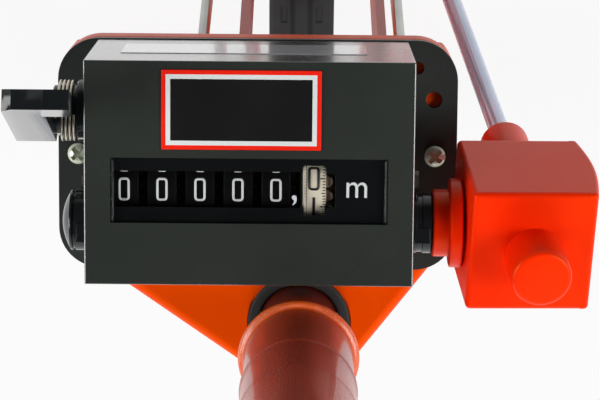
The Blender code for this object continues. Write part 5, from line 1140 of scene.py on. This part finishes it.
# The dark red of the lower tube is painted shade.
finish(smooth(pole_tube), "pole_tube", tube_red_painted_shade, "lower_tube", POLE)
print("The lower tube is", round(tube_top + 0.025, 4), "m long")

# %% Turn the sleeve
sleeve = [(0.0127, 0.028), (0.0171, 0.028)]
bead = arc((0.0167, 0), 0.0015, -80, 80, 12)
sleeve += [(radius, 0.0015 + height + 0.028) for radius, height in bead]
sleeve += [(0.01665, 0.0312), (0.0164, 0.0318), (0.0164, 0.0560), (0.0168, 0.0563), (0.0171, 0.0568)]
sleeve += [(0.0172, 0.0575), (0.0170, 0.0583), (0.0168, 0.0590), (0.0168, 0.0765), (0.0171, 0.0770)]
sleeve += [(0.0172, 0.0777), (0.0170, 0.0785), (0.0170, 0.1318), (0.0167, 0.1327), (0.0160, 0.133)]
sleeve += [(0.0127, 0.133)]
lock_sleeve = smooth(turned("sleeve", sleeve, 96, True), 50)


def bead_light_or_skin_shade(face):
    on_bead = face.center.z < 0.0316 and math.hypot(face.center.x, face.center.y) > 0.0164
    return 1 if on_bead else 0


# The bead takes the brighter orange, painted light; the rest of the sleeve the darker one, painted shade.
painted(lock_sleeve, (sleeve_leather_painted_shade, rim_leather_painted_light), bead_light_or_skin_shade)
finish(lock_sleeve, "grained_sleeve", None, "lock_sleeve", POLE)
print("The sleeve is", round(lock_sleeve.dimensions.z, 3), "m tall as it leans")

# %% [markdown]
# ## The tyre
# The tyre is a rubber ring with a slightly crowned tread. It is spun from its section; then every
# second face of the tread is inset with a depth, which sinks a pattern of small pockets for grip.

# %% Spin the tyre and sink its tread
outer = 0.159155
tyre = [(0.146955, -0.0098), (0.1500, -0.0112), (0.1545, -0.0122), (0.1572, -0.0119), (0.1585, -0.0106)]
tyre += [(0.1590, -0.0080), (outer, -0.0052), (outer, -0.0044), (0.1582, -0.0036), (0.1582, -0.0030)]
tyre = tyre + [(outer, -0.0022), (outer, 0.0022)] + mirrored(tyre)
wheel_tyre = along_x(turned("tyre", tyre, 144, True))


def is_pocket(face):
    """Every second face in the tread's two outer bands."""
    x, y, z = face.center
    step = int(round(math.degrees(math.atan2(y, z)) / 2.5 - 0.5))
    return 0.0050 < abs(x) < 0.0080 and math.hypot(y, z) > 0.1575 and step % 2 == 0


pick(wheel_tyre, "FACE", is_pocket)
bpy.ops.mesh.inset(thickness=0.0005, depth=-0.0006, use_individual=True)
done()
finish(smooth(wheel_tyre, 30), "wheel_tyre", tyre_rubber, "tyre", WHEEL)
print("The tyre has", len(wheel_tyre.data.polygons), "faces")

# %% [markdown]
# ## The wheel's rim and spokes
# One orange moulding: a hub, a web with six round-cornered windows and a rim. It is spun from its
# section, the windows are one cutter copied round, and each spoke gets a raised rib.

# %% Spin the rim
section = [(0.146655, 0.0088), (0.146655, -0.0088), (0.1462, -0.009), (0.1430, -0.009)]
section += [(0.142655, -0.0087), (0.142655, -0.0052), (0.1410, -0.0037), (0.1395, -0.0035)]
section += [(0.0245, -0.0035), (0.0225, -0.0042), (0.0195, -0.0125), (0.0188, -0.013), (0.0043, -0.013)]
rim = along_x(turned("rim", section + mirrored(section), 144, True))
print("The spun rim has", len(rim.data.polygons), "faces")

# %% Cut the six windows
inner, edge_of_rim, half_spoke = 0.031, 0.124655, 0.011
inner_turn = math.degrees(math.pi / 6 - math.asin(half_spoke / inner))
outer_turn = math.degrees(math.pi / 6 - math.asin(half_spoke / edge_of_rim))
window_shape = arc((0, 0), edge_of_rim, -outer_turn, outer_turn, 20)
window_shape += arc((0, 0), inner, inner_turn, -inner_turn, 6)
window = put(drawn("window", window_shape, -0.008, 0.008), SIDE)


def is_window_corner(seam):
    """The four edges along the axle where an arc of the window meets its straight side."""
    start, end = (window.data.vertices[index].co for index in seam.vertices)
    radius = math.hypot(start.y, start.z)
    aside = abs(math.degrees(math.atan2(start.z, start.y)))
    outer_corner = abs(aside - outer_turn) < 0.1 and radius > 0.1
    inner_corner = abs(aside - inner_turn) < 0.1 and radius < 0.05
    return abs(start.x - end.x) > 0.01 and (outer_corner or inner_corner)


pick(window, "EDGE", is_window_corner)
bpy.ops.mesh.bevel(offset=0.008, segments=6)
done()
for index in range(6):
    cut(rim, put(copied(window, "window_copy"), turn(60 * index, "X")))
bpy.data.objects.remove(window)
round_edges(rim, 0.0006, 2, 40)
print("The rim has", len(rim.data.polygons), "faces")

# %% Raise a rib on each spoke
for index in range(6):
    rib = block("rib", (-0.0052, -0.0016, 0.021), (0.0052, 0.0016, 0.1405))
    round_edges(rib, 0.0007, 2)
    weld(rim, put(rib, turn(30 + 60 * index, "X") @ turn(-90, "X")))
finish(smooth(rim), "moulded_rim", housing_orange, "wheel_rim", WHEEL)

# %% [markdown]
# ## The lower gearbox, the upper pole and the grip
# These lie outside the photograph, and follow what such a wheel has: a round cup with a snout round
# the rod, a black tube above the folding joint, and a ribbed rubber grip.

# %% Turn the lower gearbox
arm_side = 0.0281 + 0.0003
cup = [(0, arm_side), (0.0148, arm_side), (0.015, arm_side + 0.0003), (0.015, arm_side + 0.0190)]
cup += [(0.0146, arm_side + 0.0199), (0.0136, arm_side + 0.0205), (0, arm_side + 0.0205)]
hub_cup = put(along_x(turned("hub_cup", cup, 72)), FORK)
snout = [(0, 0), (0.0068, 0), (0.0068, 0.0292), (0.0061, 0.030), (0, 0.030)]
weld(hub_cup, put(turned("snout", snout, 48), ROD))
hollow = along_x(pin("hollow", 0.0128, arm_side - 0.004, arm_side + 0.0183, 72))
cut(hub_cup, put(hollow, FORK))
cut(hub_cup, put(pin("drill", 0.0037, 0, 0.034, 40), ROD))
finish(smooth(hub_cup), "hub_cup", bright_orange, "hub_gearbox", None)
print("The lower gearbox has", len(hub_cup.data.polygons), "faces")

# %% Turn the upper tube and the grip
start = 0.0323
end = start + 0.4
upper = [(TUBE_BORE, start), (TUBE_RADIUS, start), (TUBE_RADIUS, end), (TUBE_BORE, end)]
upper_tube = smooth(turned("upper", upper, 72, True))
finish(upper_tube, "upper_pole_tube", tube_black, "upper_tube", FOLD)
top = start + 0.412
GRIP_RADIUS = 0.0165
grip = [(0, top), (0.0128, top), (0.0150, top - 0.0004), (0.0162, top - 0.0014)]
grip += [(GRIP_RADIUS, top - 0.003)]
ring_groove = [(GRIP_RADIUS, 0), (0.01625, 0.0012), (0.0158, 0.0026), (0.0157, 0.00375)]
ring_groove += [(0.0158, 0.0049), (0.01625, 0.0063), (GRIP_RADIUS, 0.0075)]
for rib in range(6):
    level_z = top - 0.016 - rib * 0.015
    grip += [(radius, level_z - down) for radius, down in ring_groove]
rim_z = start + 0.3
grip += [(GRIP_RADIUS, rim_z + 0.0085), (0.0170, rim_z + 0.0062), (0.0182, rim_z + 0.0042)]
grip += [(0.0185, rim_z + 0.0034), (0.0185, rim_z + 0.0006), (0.0181, rim_z), (0.0123, rim_z)]
grip += [(0.0123, end + 0.0003), (0, end + 0.0003)]
ribbed_grip = smooth(turned("grip_shape", grip, 72), 45)
finish(ribbed_grip, "ribbed_grip", rubber, "grip", FOLD)
print("The grip is", round(ribbed_grip.dimensions.z, 3), "m tall as it leans")

# %% [markdown]
# ## The kickstand
# The stand is one bent wire, 5 mm thick, whose ends hook into the fork's arms, with a rubber sleeve
# on the foot. The bends are drawn as arcs on the path, so that the wire keeps its thickness in them.

# %% Bend the wire
def bent_corners(corners, radius, steps):
    path = [Vector(corners[0])]
    for before, corner, after in zip(corners, corners[1:], corners[2:]):
        corner = Vector(corner)
        back_way = (Vector(before) - corner).normalized()
        next_way = (Vector(after) - corner).normalized()
        half = back_way.angle(next_way) / 2
        centre = corner + (back_way + next_way).normalized() * radius / math.sin(half)
        first_point = corner + back_way * radius / math.tan(half)
        last_point = corner + next_way * radius / math.tan(half)
        for step in range(steps + 1):
            spoke = (first_point - centre).lerp(last_point - centre, step / steps).normalized() * radius
            path.append(centre + spoke)
    path.append(Vector(corners[-1]))
    return path


pivot = FORK @ Vector((0, 0, 0.040))
low_foot, high_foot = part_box("kickstand_foot")
foot_y = (low_foot.y + high_foot.y) / 2 - pivot.y
foot_z = (low_foot.z + high_foot.z) / 2 - pivot.z
bends = [(-0.0163, 0, 0), (-0.033, 0, 0), (-0.058, foot_y, foot_z)]
bends += [(-x, y, z) for x, y, z in reversed(bends)]
bends[-1] = (0.0239, 0, 0)
stand = wire("stand", bent_corners(bends, 0.004, 10), 0.0025, 5)
pivot_place = Matrix.Translation(pivot)
finish(stand, "stand_wire", zinc, "kickstand", pivot_place)
foot = [(0.0028, -0.05), (0.0041, -0.05), (0.0045, -0.0496)]
foot += [(0.0045, 0.0496), (0.0041, 0.05), (0.0028, 0.05)]
rubber_foot = smooth(along_x(turned("foot", foot, 48, True)))
foot_place = pivot_place @ shift(0, foot_y, foot_z)
finish(rubber_foot, "rubber_foot", rubber, "kickstand_foot", foot_place)
print("The foot rests", round(low_foot.z * 1000, 2), "mm over the floor")

# %% [markdown]
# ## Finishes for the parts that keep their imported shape
# Gears, shafts, bolts, the fork's arms and the fold joint already have their real shape. They only
# get a finish, which replaces the plain colour in their material slots.

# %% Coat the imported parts
coated_parts = (
    (arm_paint, ("fork_arm_left", "fork_arm_right")),
    (cast_metal, ("fold_socket", "fold_tongue")),
    (brass, ("axle_bush_left", "axle_bush_right", "axle_bevel_gear", "rod_lower_gear")),
    (brass, ("rod_upper_gear", "counter_bevel_gear", "input_gear")),
    (dull_steel, ("digit_shaft", "pinion_shaft", "reset_shaft")),
    (drum_black, ["transfer_pinion_%d" % number for number in range(1, 6)]),
)
coat_of = {node: coat for coat, nodes_with_it in coated_parts for node in nodes_with_it}
for node, packed in frame["nodes"].items():
    if node not in stood_for:
        for slot in packed.material_slots:
            slot.material = coat_of.get(node, zinc)
print(len(finished), "new pieces,", len(frame["nodes"]) - len(stood_for), "packed parts with a finish")

# %% [markdown]
# ## Floor and light
# The photograph has a white ground. The floor is pale and lit, and for the camera and for glossy
# reflections it is lifted to white by an emission that leaves the object's shadow in it. The lamps are
# large and soft and stand at the two sides and low in front, and the sky is bright near the horizon
# and dark above: so the faces turned to the camera mirror nothing bright and stay deep.

# %% The pale floor
bpy.ops.object.select_all(action="DESELECT")
bpy.ops.mesh.primitive_plane_add(size=12, location=(0, 0, 0))
floor = bpy.context.object
floor.name = "studio_floor"
floor_finish, nodes, links, shader, place = start_finish("studio_floor", 0.8)
drift(nodes, links, place, shader, (238, 238, 238), (241, 241, 241), 2)


def math_node(operation, first, second=None):
    """A math node fed by one output or by two."""
    node = nodes.new("ShaderNodeMath")
    node.operation = operation
    links.new(first, node.inputs[0])
    if second is not None:
        links.new(second, node.inputs[1])
    return node


rays = nodes.new("ShaderNodeLightPath")
seen = math_node("MAXIMUM", rays.outputs["Is Camera Ray"], rays.outputs["Is Glossy Ray"])
through = math_node("MAXIMUM", seen.outputs["Value"], rays.outputs["Is Transmission Ray"])
share = math_node("MULTIPLY", through.outputs["Value"])
share.inputs[1].default_value = 0.87
glow = add_node(nodes, "Emission", Color=(1, 1, 1, 1), Strength=1)
mixed = nodes.new("ShaderNodeMixShader")
links.new(share.outputs["Value"], mixed.inputs["Fac"])
links.new(shader.outputs["BSDF"], mixed.inputs[1])
links.new(glow.outputs["Emission"], mixed.inputs[2])
links.new(mixed.outputs["Shader"], nodes["Material Output"].inputs["Surface"])
floor.data.materials.append(floor_finish)
print("The floor is lifted to white by a share of", round(share.inputs[1].default_value, 2))


# %% The sky and the lamps
world = bpy.data.worlds.new("studio")
bpy.context.scene.world = world
world.use_nodes = True
nodes = world.node_tree.nodes
links = world.node_tree.links
rays = nodes.new("ShaderNodeLightPath")
white_sky = add_node(nodes, "Background", Color=(1, 1, 1, 1), Strength=1)
soft_sky = set_inputs(nodes["Background"], Color=(0.95, 0.97, 1, 1))
direction = nodes.new("ShaderNodeTexCoord")
parts_of_direction = nodes.new("ShaderNodeSeparateXYZ")
links.new(direction.outputs["Generated"], parts_of_direction.inputs["Vector"])
fall = ramp_node(nodes, 0.1, (0.8, 0.8, 0.8, 1), 0.5, (0.035, 0.035, 0.035, 1))
links.new(parts_of_direction.outputs["Z"], fall.inputs["Fac"])
links.new(fall.outputs["Color"], soft_sky.inputs["Strength"])
either = nodes.new("ShaderNodeMixShader")
links.new(rays.outputs["Is Camera Ray"], either.inputs["Fac"])
links.new(soft_sky.outputs["Background"], either.inputs[1])
links.new(white_sky.outputs["Background"], either.inputs[2])
links.new(either.outputs["Shader"], nodes["World Output"].inputs["Surface"])


def lamp(name, place, aim, size, power):
    bpy.ops.object.select_all(action="DESELECT")
    bpy.ops.object.light_add(type="AREA", location=place)
    light = bpy.context.object
    light.name = name
    light.data.size = size
    light.data.energy = power
    light.rotation_euler = (Vector(aim) - Vector(place)).to_track_quat("-Z", "Y").to_euler()
    return light


target = FACE.translation
lamp("right_lamp", target + Vector((1.3, -0.5, 1.0)), target, 0.8, 18.5)
lamp("left_lamp", target + Vector((-1.4, -0.4, 0.8)), target, 0.8, 18)
low_lamp = lamp("low_front_lamp", target + Vector((0.2, -1.6, 0.3)), target, 0.9, 11)
low_lamp.visible_glossy = False
print("Three lamps, all soft")
